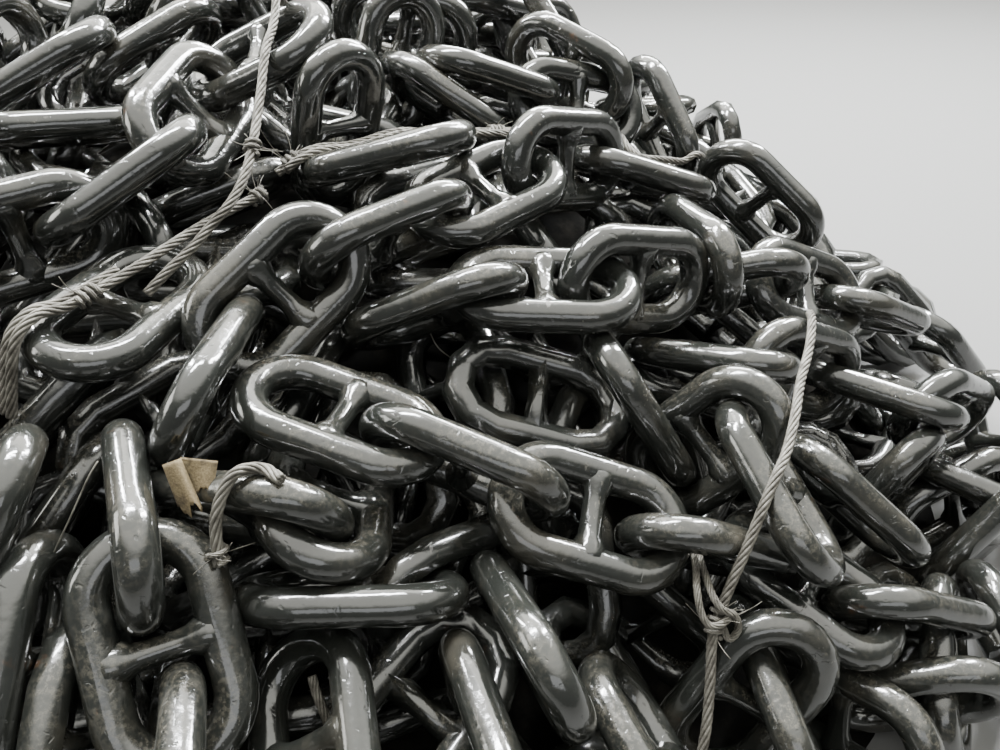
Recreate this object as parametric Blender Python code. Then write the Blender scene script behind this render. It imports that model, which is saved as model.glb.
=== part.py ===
"""Heap of stud-link anchor chain, lashed with wire rope. Metres, +Z up.

The heap lies on a level floor. Its outer links are separate solids, laid as they are seen and
then eased apart until each pair of links clears and each coupled pair is threaded. The links
buried under them are one plain core, with the links of the back and the flanks as its relief.
The wire ropes lie taut over the links. The origin is the middle of the heap's footprint.
"""
import math
from collections import namedtuple

import bmesh
import bpy
import numpy as np
from mathutils import Matrix, Vector

# The chain: one link, and the clearances between pieces
BAR = 0.042
LINK_LENGTH = 0.252
LINK_WIDTH = 0.151
STUD_WAIST = 0.026
STUD_FOOT = 0.036
LINK_GAP = 0.0006
CORE_GAP = 0.0004

# The heap: where its peak stands in front of the eye, and how far it reaches from there
PEAK_X = -0.60
PEAK_Y = 1.62
LEFT_REACH = 0.72
RIGHT_REACH = 1.60
FRONT_REACH = 1.58
BACK_REACH = 0.60
HEAP_HEIGHT = 0.80
SLOPE_POWER = 0.85
CORE_DEPTH = 0.040

# The wire rope, and its clearance over the links
ROPE = 0.012
ROPE_GAP = 0.0004
ROPE_STEP = 0.034
ROPE_SAMPLE = 0.003
ROPE_MOST_POINTS = 70
ROPE_CURVE_STEPS = 20
ROPE_LIFT_TRIES = 60
ROPE_LEAST_RISE = 0.4
BALLS_PER_BAR = 24

# The eye that the places were read from: pixels of the picture, metres and degrees
FOCAL_PIXELS = 800.0
MIDDLE_ACROSS = 500.0
MIDDLE_DOWN = 375.0
EYE_HEIGHT = 1.05
LOOK_DOWN = 36.5
LEAN = 3.0
NEAREST = 0.3
FARTHEST = 2.2
DEPTH_STEPS = 3000
FOOT_SHARE = 0.97
SLOPE_STEP = 0.02

# How links are eased apart: lengths in metres, times as shares of the steps
EASE_STEPS = 320
THREAD_SNUG = 0.0063
THREAD_SLACK = 0.032
SNUG_UNTIL = 0.3
THREAD_UNTIL = 0.7
BEARING_FROM = 0.68
BEARING_UNTIL = 0.88
HOLD_UNTIL = 0.5
HOLD = 0.06
PUSH_EASE = 1.35
PUSHED_BELOW = 1.1 * LINK_GAP
GAP_AIM = 1.2 * LINK_GAP
JAM_GAP = 0.3 * LINK_GAP
MOST_PULL = 0.0063
MOST_PUSH = 0.0105
LIFT_TRIES = 6
LIFT_STEP = 0.0168
BED_LOOSE = 0.1 * BAR
BED_DEPTH = 0.3 * BAR
BED_STEPS = 20
BED_SPOTS = 5

# How finely things are made
CROWN_STEPS = 6
STUD_SIDES = 4
BAR_SIDES = 8
SHARP_EDGE = 50.0
CORE_RINGS = 9
CORE_SECTORS = 30
FLANK_SPACING = 0.33
FLANK_CLEARANCE = 0.264
FLANK_TRIES = 900
FLANK_LEAN = 40.5
FLANK_SINK = 0.010
FLANK_SIDES = 5
FLANK_CROWN_STEPS = 3
FLANK_SEED = 4

Seen = namedtuple("Seen", "name across down lift heading tilt facing")
"""A link as seen: its middle in pixels, its lift off the heap's skin in metres, and in degrees
the heading of its length in the picture, the tilt of that towards the eye, and its facing:
0 shows it broadside, 90 edge-on."""

SEEN_LINKS = [
    Seen("run_a_link_1", 212, 371, -0.042, 54, -45, 78),
    Seen("run_a_link_2", 266, 308, 0.000, 48, 0, 0),
    Seen("run_a_link_3", 382, 240, -0.021, 18, -15, 85),
    Seen("run_a_link_4", 487, 196, 0.000, 27, -25, -46),
    Seen("run_a_link_5", 568, 152, 0.004, -8, -42, -22),
    Seen("run_a_link_6", 655, 176, -0.012, -27, -25, 80),
    Seen("run_b_link_1", 338, 424, -0.021, -22, 20, -65),
    Seen("run_b_link_2", 460, 452, -0.008, -31, 10, 85),
    Seen("run_b_link_3", 592, 515, -0.006, -11, -12, -25),
    Seen("run_b_link_4", 706, 566, -0.004, -27, -32, 85),
    Seen("run_b_link_5", 826, 577, -0.012, -41, 25, -50),
    Seen("run_b_link_6", 893, 612, 0.000, -33, -40, 70),
    Seen("run_c_link_1", 440, 305, -0.021, 18, 28, 85),
    Seen("run_c_link_2", 543, 292, 0.000, -3, 0, -41),
    Seen("run_c_link_3", 637, 285, 0.000, 3, -40, 10),
    Seen("run_c_link_4", 692, 256, 0.000, 25, 60, 10),
    Seen("run_d_link_1", 720, 283, -0.030, -3, 10, 85),
    Seen("run_d_link_2", 798, 290, 0.012, -15, -25, -30),
    Seen("run_d_link_3", 878, 310, 0.000, -42, -45, 65),
    Seen("run_e_link_1", 703, 361, -0.025, -8, 35, 85),
    Seen("run_e_link_2", 793, 370, 0.021, -14, -30, 15),
    Seen("run_e_link_3", 877, 397, 0.012, -23, 45, 80),
    Seen("run_e_link_4", 942, 408, 0.012, -28, -45, 25),
    Seen("run_f_link_1", 658, 414, -0.030, -54, -20, 84),
    Seen("run_f_link_2", 698, 436, -0.040, 19, 35, 5),
    Seen("run_f_link_3", 759, 483, 0.035, -63, 20, 88),
    Seen("run_f_link_4", 840, 502, 0.008, -32, -30, 85),
    Seen("run_g_link_1", 388, 155, -0.008, 14, 12, 88),
    Seen("run_h_link_1", 25, 238, -0.034, 15, 0, 20),
    Seen("run_h_link_2", 116, 188, 0.000, 32, 8, 88),
    Seen("run_h_link_3", 197, 107, 0.000, 49, -28, 5),
    Seen("run_h_link_4", 257, 58, 0.000, 25, 50, -45),
    Seen("run_i_link_1", 68, 128, -0.050, 3, 0, 85),
    Seen("run_j_link_1", 345, 588, -0.045, 3, 5, 88),
    Seen("run_k_link_1", 148, 530, 0.000, 88, -45, 85),
    Seen("run_k_link_2", 167, 643, 0.000, -78, 10, 5),
    Seen("run_k_link_3", 163, 774, 0.020, -88, 30, 82),
    Seen("run_l_link_1", 248, 503, -0.030, -13, 38, 82),
    Seen("run_l_link_2", 316, 504, -0.060, 80, -60, 0),
    Seen("run_m_link_1", 528, 640, 0.000, -58, 50, 85),
    Seen("run_n_link_1", 490, 745, 0.010, -70, 30, 85),
    Seen("run_o_link_1", 653, 758, 0.000, -61, 15, -74),
    Seen("run_p_link_1", 312, 748, -0.025, -86, 20, 40),
    Seen("run_q_link_1", 490, 78, -0.012, -18, -25, 80),
    Seen("run_r_link_1", 405, 28, -0.012, -15, 0, 20),
    Seen("run_s_link_1", 760, 200, 0.000, -45, -10, 40),
    Seen("run_t_link_1", 130, 309, -0.035, 40, -38, -45),
    Seen("run_u_link_1", -12, 545, -0.010, 70, 20, 88),
    Seen("run_v_link_1", 938, 666, 0.008, -85, 10, 75),
    Seen("run_w_link_1", 37, 70, 0.000, 32, 10, 88),
    Seen("run_x_link_1", 975, 568, -0.020, 42, 10, 85),
    Seen("run_y_link_1", 890, 478, -0.035, 48, 20, 85),
]

COUPLED = """
run_a_link_1+ run_a_link_2-  run_a_link_2+ run_a_link_3-  run_a_link_3+ run_a_link_4-
run_a_link_4+ run_a_link_5-  run_a_link_5+ run_a_link_6-
run_b_link_1+ run_b_link_2-  run_b_link_2+ run_b_link_3-  run_b_link_3+ run_b_link_4-
run_b_link_4+ run_b_link_5-  run_b_link_5+ run_b_link_6-  run_b_link_6+ run_v_link_1-
run_c_link_1+ run_c_link_2-  run_c_link_2+ run_c_link_3-
run_d_link_1+ run_d_link_2-  run_d_link_2+ run_d_link_3-
run_e_link_1+ run_e_link_2-  run_e_link_2+ run_e_link_3-  run_e_link_3+ run_e_link_4-
run_f_link_1+ run_f_link_2-  run_f_link_2+ run_f_link_3-
run_h_link_1+ run_h_link_2-  run_h_link_2+ run_h_link_3-  run_h_link_3+ run_h_link_4-
run_k_link_1- run_k_link_2-  run_k_link_2+ run_k_link_3-  run_l_link_1+ run_l_link_2-
"""
"""Coupled ends, in pairs: + is the end that the heading points to, - the other one."""

Rope = namedtuple("Rope", "name points")
"""A lashing: the spots in pixels that it passes, from end to end."""

ROPES = [
    Rope("lashing_right", [(800, 358), (797, 400), (785, 450), (778, 490), (765, 540),
                           (735, 600), (712, 640), (710, 700), (703, 750)]),
    Rope("lashing_left_upper", [(0, 395), (40, 355), (90, 305), (130, 270), (200, 205),
                                (260, 168)]),
    Rope("lashing_left_lower", [(140, 275), (205, 235), (250, 195), (275, 110), (298, 40)]),
    Rope("lashing_top", [(272, 150), (300, 145), (360, 130), (450, 113), (500, 112), (560, 108),
                         (620, 118), (640, 140), (710, 152)]),
    Rope("lashing_front", [(228, 590), (225, 570), (240, 550), (260, 528), (285, 527), (300, 545)]),
]

LINK_RGBA = (0.022, 0.021, 0.020, 1.0)
ROPE_RGBA = (0.19, 0.165, 0.135, 1.0)
CORE_RGBA = (0.012, 0.011, 0.011, 1.0)


def clear_scene():
    for thing in list(bpy.data.objects):
        bpy.data.objects.remove(thing, do_unlink=True)


def material(name, rgba, roughness, metallic):
    made = bpy.data.materials.new(name)
    made.use_nodes = True
    made.diffuse_color = rgba
    shader = made.node_tree.nodes["Principled BSDF"]
    shader.inputs["Base Color"].default_value = rgba
    shader.inputs["Roughness"].default_value = roughness
    shader.inputs["Metallic"].default_value = metallic
    return made


# The eye, and places on the heap's skin

def eye_axes():
    """Right, up and forward of the eye, which looks down along +Y and leans to one side."""
    down, lean = math.radians(LOOK_DOWN), math.radians(LEAN)
    forward = np.array([0.0, math.cos(down), -math.sin(down)])
    level_right = np.array([1.0, 0.0, 0.0])
    level_up = np.array([0.0, math.sin(down), math.cos(down)])
    right = math.cos(lean) * level_right - math.sin(lean) * level_up
    up = math.sin(lean) * level_right + math.cos(lean) * level_up
    return right, up, forward


RIGHT, UP, FORWARD = eye_axes()
EYE = np.array([0.0, 0.0, EYE_HEIGHT])


def footprint_share(x, y):
    """How far a spot lies from the peak along X and Y, as shares of the heap's reach there."""
    across = (x - PEAK_X) / np.where(x < PEAK_X, LEFT_REACH, RIGHT_REACH)
    along = (y - PEAK_Y) / np.where(y < PEAK_Y, FRONT_REACH, BACK_REACH)
    return across, along


def skin_height(x, y):
    """The heap's smooth skin: a mound of four quarter ellipses around its peak."""
    across, along = footprint_share(x, y)
    rest = np.clip(1.0 - across ** 2 - along ** 2, 0.0, 1.0)
    return HEAP_HEIGHT * rest ** SLOPE_POWER


def sight_line(across, down):
    """The direction in which a pixel is seen, one metre deep."""
    aside = (across - MIDDLE_ACROSS) / FOCAL_PIXELS * RIGHT
    return FORWARD + aside + (MIDDLE_DOWN - down) / FOCAL_PIXELS * UP


def spot_on_skin(across, down, lift):
    """Where the line of sight through a pixel meets the skin.

    A line that misses the skin gives the spot on the skin below its nearest pass, and one that
    meets the floor beside the heap gives the spot at the heap's foot nearest to it.
    """
    depth = np.linspace(NEAREST, FARTHEST, DEPTH_STEPS)
    spots = EYE + depth[:, None] * sight_line(across, down)
    over = spots[:, 2] - skin_height(spots[:, 0], spots[:, 1]) - lift
    below = over < 0
    x, y, _ = spots[np.argmax(below) if below.any() else np.argmin(over)]
    far_out = math.hypot(*footprint_share(x, y))
    inward = min(1.0, FOOT_SHARE / max(far_out, FOOT_SHARE))
    x, y = PEAK_X + inward * (x - PEAK_X), PEAK_Y + inward * (y - PEAK_Y)
    return np.array([x, y, skin_height(x, y) + lift])


def seen_turn(seen):
    """The link's own axes, as columns: along its length, across its width, through its face."""
    heading, tilt, facing = (math.radians(angle) for angle in (seen.heading, seen.tilt, seen.facing))
    sight = sight_line(seen.across, seen.down)
    sight = sight / np.linalg.norm(sight)
    pointing = math.cos(heading) * RIGHT + math.sin(heading) * UP
    in_view = pointing - (pointing @ sight) * sight
    in_view = in_view / np.linalg.norm(in_view)
    along = math.cos(tilt) * in_view - math.sin(tilt) * sight
    level = np.cross(in_view, sight)
    across = math.cos(facing) * level + math.sin(facing) * np.cross(along, level)
    return np.stack([along, across, np.cross(along, across)], axis=1)


# The link as a chain of round bars, for keeping links clear of each other

def link_path(crown_steps):
    """Middle line of the bar: two half circles joined by straights, as corner points."""
    reach = (LINK_LENGTH - LINK_WIDTH) / 2
    radius = (LINK_WIDTH - BAR) / 2
    turn = np.linspace(-math.pi / 2, math.pi / 2, crown_steps + 1)
    half = np.stack([reach + radius * np.cos(turn), radius * np.sin(turn), 0 * turn], axis=1)
    return np.concatenate([half, half * [-1, -1, 1]])


PATH = link_path(CROWN_STEPS)
STUD_END = np.array([[0.0, (LINK_WIDTH - BAR) / 2, 0.0]])
BAR_FROM = np.concatenate([PATH, -STUD_END])
BAR_TO = np.concatenate([np.roll(PATH, -1, axis=0), STUD_END])
BAR_RADIUS = np.array([BAR / 2] * len(PATH) + [STUD_FOOT / 2])
BAR_ALONG = (BAR_TO - BAR_FROM) / np.linalg.norm(BAR_TO - BAR_FROM, axis=1)[:, None]
BAR_OUT = np.cross(BAR_ALONG, [0.0, 0.0, 1.0])
SEAT = LINK_LENGTH / 2 - BAR
SPIN_EASE = 1 / (np.array([0.035, 0.093, 0.121]) * LINK_LENGTH ** 2)


def nearest_points(from_a, to_a, from_b, to_b):
    """The nearest points of two straight bars' middle lines, for whole arrays of bars."""
    line_a, line_b, between = to_a - from_a, to_b - from_b, from_a - from_b
    aa, bb = (line_a ** 2).sum(-1), (line_b ** 2).sum(-1)
    ab = (line_a * line_b).sum(-1)
    a_gap, b_gap = (line_a * between).sum(-1), (line_b * between).sum(-1)
    spread = aa * bb - ab * ab
    crossing = spread > 1e-6 * aa * bb
    share_a = np.where(crossing, (ab * b_gap - a_gap * bb) / np.where(crossing, spread, 1.0), 0.5)
    share_a = np.clip(share_a, 0, 1)
    share_b = np.clip((ab * share_a + b_gap) / bb, 0, 1)
    share_a = np.clip((ab * share_b - a_gap) / aa, 0, 1)
    return from_a + share_a[..., None] * line_a, from_b + share_b[..., None] * line_b


Bars = namedtuple("Bars", "start end out face")
"""The bars of many links in the world: both ends, and the section's two directions."""


def bars_of(middles, turns):
    def world(local):
        return np.einsum("nij,kj->nki", turns, local)

    face = np.broadcast_to(turns[:, None, :, 2], (len(turns), len(BAR_FROM), 3))
    return Bars(middles[:, None] + world(BAR_FROM), middles[:, None] + world(BAR_TO), world(BAR_OUT), face)


def section_reach(way, out, face, radius):
    """How far the many-sided bar reaches from its middle line in the direction way."""
    angle = np.arctan2((way * face).sum(-1), (way * out).sum(-1))
    step = 2 * math.pi / BAR_SIDES
    return radius * np.cos(angle - np.round(angle / step) * step)


def link_gaps(middles, turns, first, second):
    """For pairs of links: the gap, the way from first to second, and the nearest points."""
    bars = bars_of(middles, turns)
    one = [part[first][:, :, None] for part in bars]
    two = [part[second][:, None] for part in bars]
    on_a, on_b = nearest_points(one[0], one[1], two[0], two[1])
    way = on_b - on_a
    apart = np.linalg.norm(way, axis=-1)
    way = way / np.maximum(apart, 1e-9)[..., None]
    reach_a = section_reach(way, one[2], one[3], BAR_RADIUS[:, None])
    reach_b = section_reach(-way, two[2], two[3], BAR_RADIUS[None])
    gaps = (apart - reach_a - reach_b).reshape(len(first), -1)
    rows = np.arange(len(first))
    best = gaps.argmin(axis=1)
    picked = [part.reshape(len(first), -1, 3)[rows, best] for part in (way, on_a, on_b)]
    return gaps[rows, best], *picked


def turned(turns, spins):
    """Each turn, turned on by its small rotation vector."""
    angle = np.linalg.norm(spins, axis=1)
    axis = spins / np.maximum(angle, 1e-12)[:, None]
    cross = np.zeros((len(spins), 3, 3))
    cross[:, 0, 1], cross[:, 0, 2], cross[:, 1, 2] = -axis[:, 2], axis[:, 1], -axis[:, 0]
    cross = cross - cross.transpose(0, 2, 1)
    sine, rest = np.sin(angle)[:, None, None], 1 - np.cos(angle)[:, None, None]
    return turns + sine * (cross @ turns) + rest * (cross @ cross @ turns)


def link_drop(turns):
    """How far a link reaches below its middle, at the most."""
    length = np.abs(turns[..., 2, 0]) * (LINK_LENGTH - LINK_WIDTH) / 2
    crown = np.hypot(turns[..., 2, 0], turns[..., 2, 1]) * (LINK_WIDTH - BAR) / 2
    return length + crown + BAR / 2


class Easing:
    """Links that are moved and turned a little at a time, until they clear each other."""

    def __init__(self, middles, turns, coupled):
        self.middles, self.turns = middles.copy(), turns.copy()
        self.home, self.home_turns = middles.copy(), turns.copy()
        self.first, self.second, self.end_first, self.end_second = coupled
        self.pairs = {tuple(sorted(pair)) for pair in zip(self.first, self.second)}

    def begin(self):
        self.shift = np.zeros_like(self.middles)
        self.spin = np.zeros_like(self.middles)
        self.pushes = np.zeros(len(self.middles))

    def push(self, a, b, point_a, point_b, way, amount):
        """Moves links a and b apart along way by amount, as free bodies would go."""
        arm_a, arm_b = point_a - self.middles[a], point_b - self.middles[b]
        turn_a, give_a = self.give(a, arm_a, way)
        turn_b, give_b = self.give(b, arm_b, way)
        size = (amount / (give_a + give_b))[:, None]
        np.add.at(self.shift, a, -size * way)
        np.add.at(self.shift, b, size * way)
        np.add.at(self.spin, a, -size * turn_a)
        np.add.at(self.spin, b, size * turn_b)
        np.add.at(self.pushes, a, 1)
        np.add.at(self.pushes, b, 1)

    def give(self, which, arm, way):
        """How a link turns, and how far it gives, for a unit push along way at arm."""
        local = np.einsum("nji,nj->ni", self.turns[which], np.cross(arm, way))
        turn = np.einsum("nij,nj->ni", self.turns[which], local * SPIN_EASE)
        return turn, 1 + (local ** 2 * SPIN_EASE).sum(-1)

    def finish(self):
        share = (PUSH_EASE / np.maximum(self.pushes, 1))[:, None]
        self.middles = self.middles + self.shift * share
        self.turns = turned(self.turns, self.spin * share)

    def seat(self, which, end):
        """The inner side of each link's crown at the given end."""
        return self.middles[which] + (end * SEAT)[:, None] * self.turns[which][:, :, 0]

    def thread(self, allowed):
        """Brings each coupled pair's crowns together, but for the allowed slack."""
        point_a = self.seat(self.first, self.end_first)
        point_b = self.seat(self.second, self.end_second)
        way = point_b - point_a
        apart = np.linalg.norm(way, axis=1)
        way = way / np.maximum(apart, 1e-9)[:, None]
        slack = np.maximum(apart - allowed, 0)
        self.push(self.first, self.second, point_a, point_b, way, -slack)

    def part(self, bearing):
        """Pushes near pairs apart, and once bearing draws each coupled pair into contact."""
        apart = np.linalg.norm(self.middles[:, None] - self.middles[None], axis=-1)
        first, second = np.nonzero(np.triu(apart < LINK_LENGTH + BAR, 1))
        gaps, way, point_a, point_b = link_gaps(self.middles, self.turns, first, second)
        amount = np.where(gaps < PUSHED_BELOW, GAP_AIM - gaps, 0.0)
        if bearing:
            threaded = np.array([pair in self.pairs for pair in zip(first, second)])
            amount = np.where(threaded, GAP_AIM - gaps, amount)
        near = np.nonzero(amount)[0]
        amount = np.clip(amount[near], -MOST_PULL, MOST_PUSH)
        self.push(first[near], second[near], point_a[near], point_b[near], way[near], amount)

    def hold(self, strength):
        """Draws each link back towards where it was seen."""
        self.middles = self.middles + strength * (self.home - self.middles)
        spin = sum(np.cross(self.turns[:, :, k], self.home_turns[:, :, k]) for k in range(3))
        self.turns = turned(self.turns, 0.5 * strength * spin)

    def stand_on_floor(self):
        lowest = self.middles[:, 2] - link_drop(self.turns)
        self.middles[:, 2] += np.maximum(CORE_GAP - lowest, 0)

    def settle(self, steps):
        for step in range(steps):
            share = step / steps
            self.begin()
            if share < THREAD_UNTIL:
                self.thread(THREAD_SNUG if share < SNUG_UNTIL else THREAD_SLACK)
            self.part(bearing=BEARING_FROM < share < BEARING_UNTIL)
            self.finish()
            self.hold(HOLD if share < HOLD_UNTIL else 0.0)
            self.stand_on_floor()

    def jammed(self):
        """The upper link of each pair that still overlaps."""
        apart = np.linalg.norm(self.middles[:, None] - self.middles[None], axis=-1)
        first, second = np.nonzero(np.triu(apart < LINK_LENGTH + BAR, 1))
        gaps, _, _, _ = link_gaps(self.middles, self.turns, first, second)
        held = np.nonzero(gaps < JAM_GAP)[0]
        upper = np.where(self.middles[first, 2] > self.middles[second, 2], first, second)
        return sorted(set(upper[held]))

    def run(self):
        """Settles the links, and lifts what has jammed to settle again over its neighbours."""
        self.settle(EASE_STEPS)
        for _ in range(LIFT_TRIES):
            stuck = self.jammed()
            if not stuck:
                break
            self.home, self.home_turns = self.middles.copy(), self.turns.copy()
            self.middles[stuck, 2] += LIFT_STEP
            self.home[stuck, 2] += LIFT_STEP
            self.settle(EASE_STEPS // 3)
        self.bed()
        return self.middles, self.turns

    def over_core(self):
        """How far each link stands over the core's skin where it comes nearest to it."""
        bars = bars_of(self.middles, self.turns)
        share = np.linspace(0, 1, BED_SPOTS)[:, None]
        spots = bars.start[:, :, None] + share * (bars.end - bars.start)[:, :, None]
        core = skin_height(spots[..., 0], spots[..., 1]) - CORE_DEPTH
        over = spots[..., 2] - BAR_RADIUS[:, None] - core
        return over.reshape(len(over), -1).min(axis=1)

    def nearest_gap(self):
        """Each link's least gap to another."""
        apart = np.linalg.norm(self.middles[:, None] - self.middles[None], axis=-1)
        first, second = np.nonzero(np.triu(apart < LINK_LENGTH + BAR, 1))
        gaps, _, _, _ = link_gaps(self.middles, self.turns, first, second)
        least = np.full(len(self.middles), BAR)
        np.minimum.at(least, first, gaps)
        np.minimum.at(least, second, gaps)
        return least

    def bed(self):
        """Lets down any link that touches nothing, until it beds in the core or on a link."""
        for _ in range(BED_STEPS):
            over, gap = self.over_core(), self.nearest_gap()
            clear = (over > BED_LOOSE) & (gap > BED_LOOSE)
            if not clear.any():
                break
            drop = np.minimum(over + BED_DEPTH, gap - GAP_AIM)
            self.middles[:, 2] -= np.where(clear, drop, 0.0)


def coupled_ends(names):
    words = COUPLED.split()
    index = [names.index(word[:-1]) for word in words]
    end = [1 if word[-1] == "+" else -1 for word in words]
    return (np.array(index[0::2]), np.array(index[1::2]), np.array(end[0::2]), np.array(end[1::2]))


# Meshes

def mesh_object(name, vertices, faces, paint=None):
    mesh = bpy.data.meshes.new(name)
    mesh.from_pydata([tuple(vertex) for vertex in vertices], [], faces)
    mesh.validate()
    made = bpy.data.objects.new(name, mesh)
    bpy.context.scene.collection.objects.link(made)
    if paint:
        mesh.materials.append(paint)
    return made


def ring_mesh(sides, radius, path):
    """A round bar carried once around a closed path that lies flat, as vertices and faces.

    On the inner side the stretches meet at full radius, as a mitre does, and the outer corners
    stay on the bar's own circle.
    """
    before, after = np.roll(path, 1, axis=0) - path, np.roll(path, -1, axis=0) - path
    before = before / np.linalg.norm(before, axis=1)[:, None]
    after = after / np.linalg.norm(after, axis=1)[:, None]
    along = (after - before) / np.linalg.norm(after - before, axis=1)[:, None]
    outward = np.cross(along, [0, 0, 1])
    mitre = 1 / np.abs((along * after).sum(axis=1))
    angle = np.arange(sides) * 2 * math.pi / sides
    flat = np.cos(angle)[None, :] * np.where(np.cos(angle)[None, :] < 0, mitre[:, None], 1.0)
    spokes = flat[..., None] * outward[:, None] + np.sin(angle)[None, :, None] * [0, 0, 1]
    vertices = (path[:, None] + radius * spokes).reshape(-1, 3)
    faces = []
    for station in range(len(path)):
        following = (station + 1) % len(path)
        for side in range(sides):
            beside = (side + 1) % sides
            faces.append([station * sides + side, station * sides + beside,
                          following * sides + beside, following * sides + side])
    return vertices, faces


def stud_mesh(sides):
    """The stud across the link's eye: a bar with a waist, its feet sunk in the ring."""
    foot = (LINK_WIDTH - BAR) / 2
    stations = [(-foot, STUD_FOOT), (0.0, STUD_WAIST), (foot, STUD_FOOT)]
    angle = (np.arange(sides) + 0.5) * 2 * math.pi / sides
    vertices, faces = [], []
    for place, size in stations:
        ring = np.stack([size / 2 * np.sin(angle), place + 0 * angle, size / 2 * np.cos(angle)], axis=1)
        vertices.extend(ring)
    for row in range(len(stations) - 1):
        for side in range(sides):
            beside = (side + 1) % sides
            faces.append([row * sides + side, row * sides + beside,
                          (row + 1) * sides + beside, (row + 1) * sides + side])
    faces.append(list(range(sides))[::-1])
    faces.append([(len(stations) - 1) * sides + side for side in range(sides)])
    return np.array(vertices), faces


def boolean(body, operation, other):
    change = body.modifiers.new(operation.lower(), "BOOLEAN")
    change.operation = operation
    change.solver = "EXACT"
    if isinstance(other, bpy.types.Collection):
        change.operand_type = "COLLECTION"
        change.collection = other
    else:
        change.object = other


def settled_mesh(made):
    """The object's mesh with its modifiers worked in."""
    graph = bpy.context.evaluated_depsgraph_get()
    return bpy.data.meshes.new_from_object(made.evaluated_get(graph))


def make_link_mesh(paint):
    """The link that all the outer links share: ring and stud as one forging."""
    ring = mesh_object("ring", *ring_mesh(BAR_SIDES, BAR / 2, PATH), paint)
    stud = mesh_object("stud", *stud_mesh(STUD_SIDES), paint)
    boolean(ring, "UNION", stud)
    link = settled_mesh(ring)
    link.name = "link"
    link.shade_smooth()
    link.set_sharp_from_angle(angle=math.radians(SHARP_EDGE))
    bpy.data.objects.remove(ring)
    bpy.data.objects.remove(stud)
    return link


def pocket_mesh():
    """The slab that a link fills, with the core's clearance around it."""
    before, after = np.roll(PATH, 1, axis=0), np.roll(PATH, -1, axis=0)
    along = after - before
    along = along / np.linalg.norm(along, axis=1)[:, None]
    outward = np.cross(along, [0, 0, 1])
    rim = PATH + (BAR / 2 + CORE_GAP / math.cos(math.pi / 2 / CROWN_STEPS)) * outward
    half = BAR / 2 + CORE_GAP
    count = len(rim)
    vertices = np.concatenate([rim - [0, 0, half], rim + [0, 0, half]])
    faces = []
    for side in range(count):
        beside = (side + 1) % count
        faces.append([side, beside, beside + count, side + count])
    faces.append(list(range(count))[::-1])
    faces.append(list(range(count, 2 * count)))
    return vertices, faces


# The core

def core_mound():
    """The mound under the outer links: rings of points out from the peak, and a flat floor."""
    vertices = [(PEAK_X, PEAK_Y, HEAP_HEIGHT - CORE_DEPTH)]
    for ring in range(1, CORE_RINGS + 1):
        share = math.sin(ring / CORE_RINGS * math.pi / 2)
        for sector in range(CORE_SECTORS):
            angle = sector * 2 * math.pi / CORE_SECTORS
            across, along = math.cos(angle), math.sin(angle)
            reach_x = (RIGHT_REACH if across > 0 else LEFT_REACH) - CORE_DEPTH
            reach_y = (BACK_REACH if along > 0 else FRONT_REACH) - CORE_DEPTH
            height = (HEAP_HEIGHT - CORE_DEPTH) * max(0.0, 1 - share ** 2) ** SLOPE_POWER
            vertices.append((PEAK_X + share * across * reach_x, PEAK_Y + share * along * reach_y, height))
    faces = [[0, 1 + sector, 1 + (sector + 1) % CORE_SECTORS] for sector in range(CORE_SECTORS)]
    for ring in range(CORE_RINGS - 1):
        inner, outer = 1 + ring * CORE_SECTORS, 1 + (ring + 1) * CORE_SECTORS
        for sector in range(CORE_SECTORS):
            beside = (sector + 1) % CORE_SECTORS
            faces.append([inner + sector, outer + sector, outer + beside, inner + beside])
    rim = 1 + (CORE_RINGS - 1) * CORE_SECTORS
    faces.append([rim + sector for sector in range(CORE_SECTORS)][::-1])
    return vertices, faces


def flank_places(middles):
    """Links of the back and the flanks: spots on the skin, clear of the outer links."""
    rng = np.random.default_rng(FLANK_SEED)
    taken, places = np.zeros((0, 3)), []
    for step in range(FLANK_TRIES):
        share = math.sqrt((step + 0.5) / FLANK_TRIES)
        angle = step * math.pi * (3 - math.sqrt(5))
        across, along = math.cos(angle), math.sin(angle)
        x = PEAK_X + share * across * (RIGHT_REACH if across > 0 else LEFT_REACH)
        y = PEAK_Y + share * along * (BACK_REACH if along > 0 else FRONT_REACH)
        spot = np.array([x, y, float(skin_height(x, y))])
        near_outer = np.linalg.norm(middles - spot, axis=1).min() < FLANK_CLEARANCE
        near_flank = (np.linalg.norm(taken - spot, axis=1) < FLANK_SPACING).any()
        if not (near_outer or near_flank):
            places.append((spot, rng.uniform(0, math.tau, 2)))
            taken = np.array([place for place, _ in places])
    return places


def skin_out(x, y):
    """The skin's outward direction at a spot, from its slope across a short step each way."""
    half = SLOPE_STEP / 2
    slope_x = float(skin_height(x + half, y) - skin_height(x - half, y)) / SLOPE_STEP
    slope_y = float(skin_height(x, y + half) - skin_height(x, y - half)) / SLOPE_STEP
    return Vector((-slope_x, -slope_y, 1)).normalized()


def flank_turn(spot, angles):
    """A flank link lies along the skin, with its face turned at random about its length."""
    out = skin_out(spot[0], spot[1])
    along = out.orthogonal().normalized()
    along.rotate(Matrix.Rotation(angles[0], 3, out))
    across = out.cross(along)
    across.rotate(Matrix.Rotation(math.radians(FLANK_LEAN) * math.sin(angles[1]), 3, along))
    return np.array([along, across, along.cross(across)]).T


def placed(made, middle, turn):
    made.matrix_world = Matrix.Translation(Vector(middle)) @ Matrix(turn.tolist()).to_4x4()
    return made


def gather(name, things):
    """Puts guides for a Boolean into a collection of their own, and takes them off the render."""
    group = bpy.data.collections.new(name)
    bpy.context.scene.collection.children.link(group)
    for thing in things:
        bpy.context.scene.collection.objects.unlink(thing)
        group.objects.link(thing)
        thing.hide_render = True
        thing.display_type = "WIRE"
    return group


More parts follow.
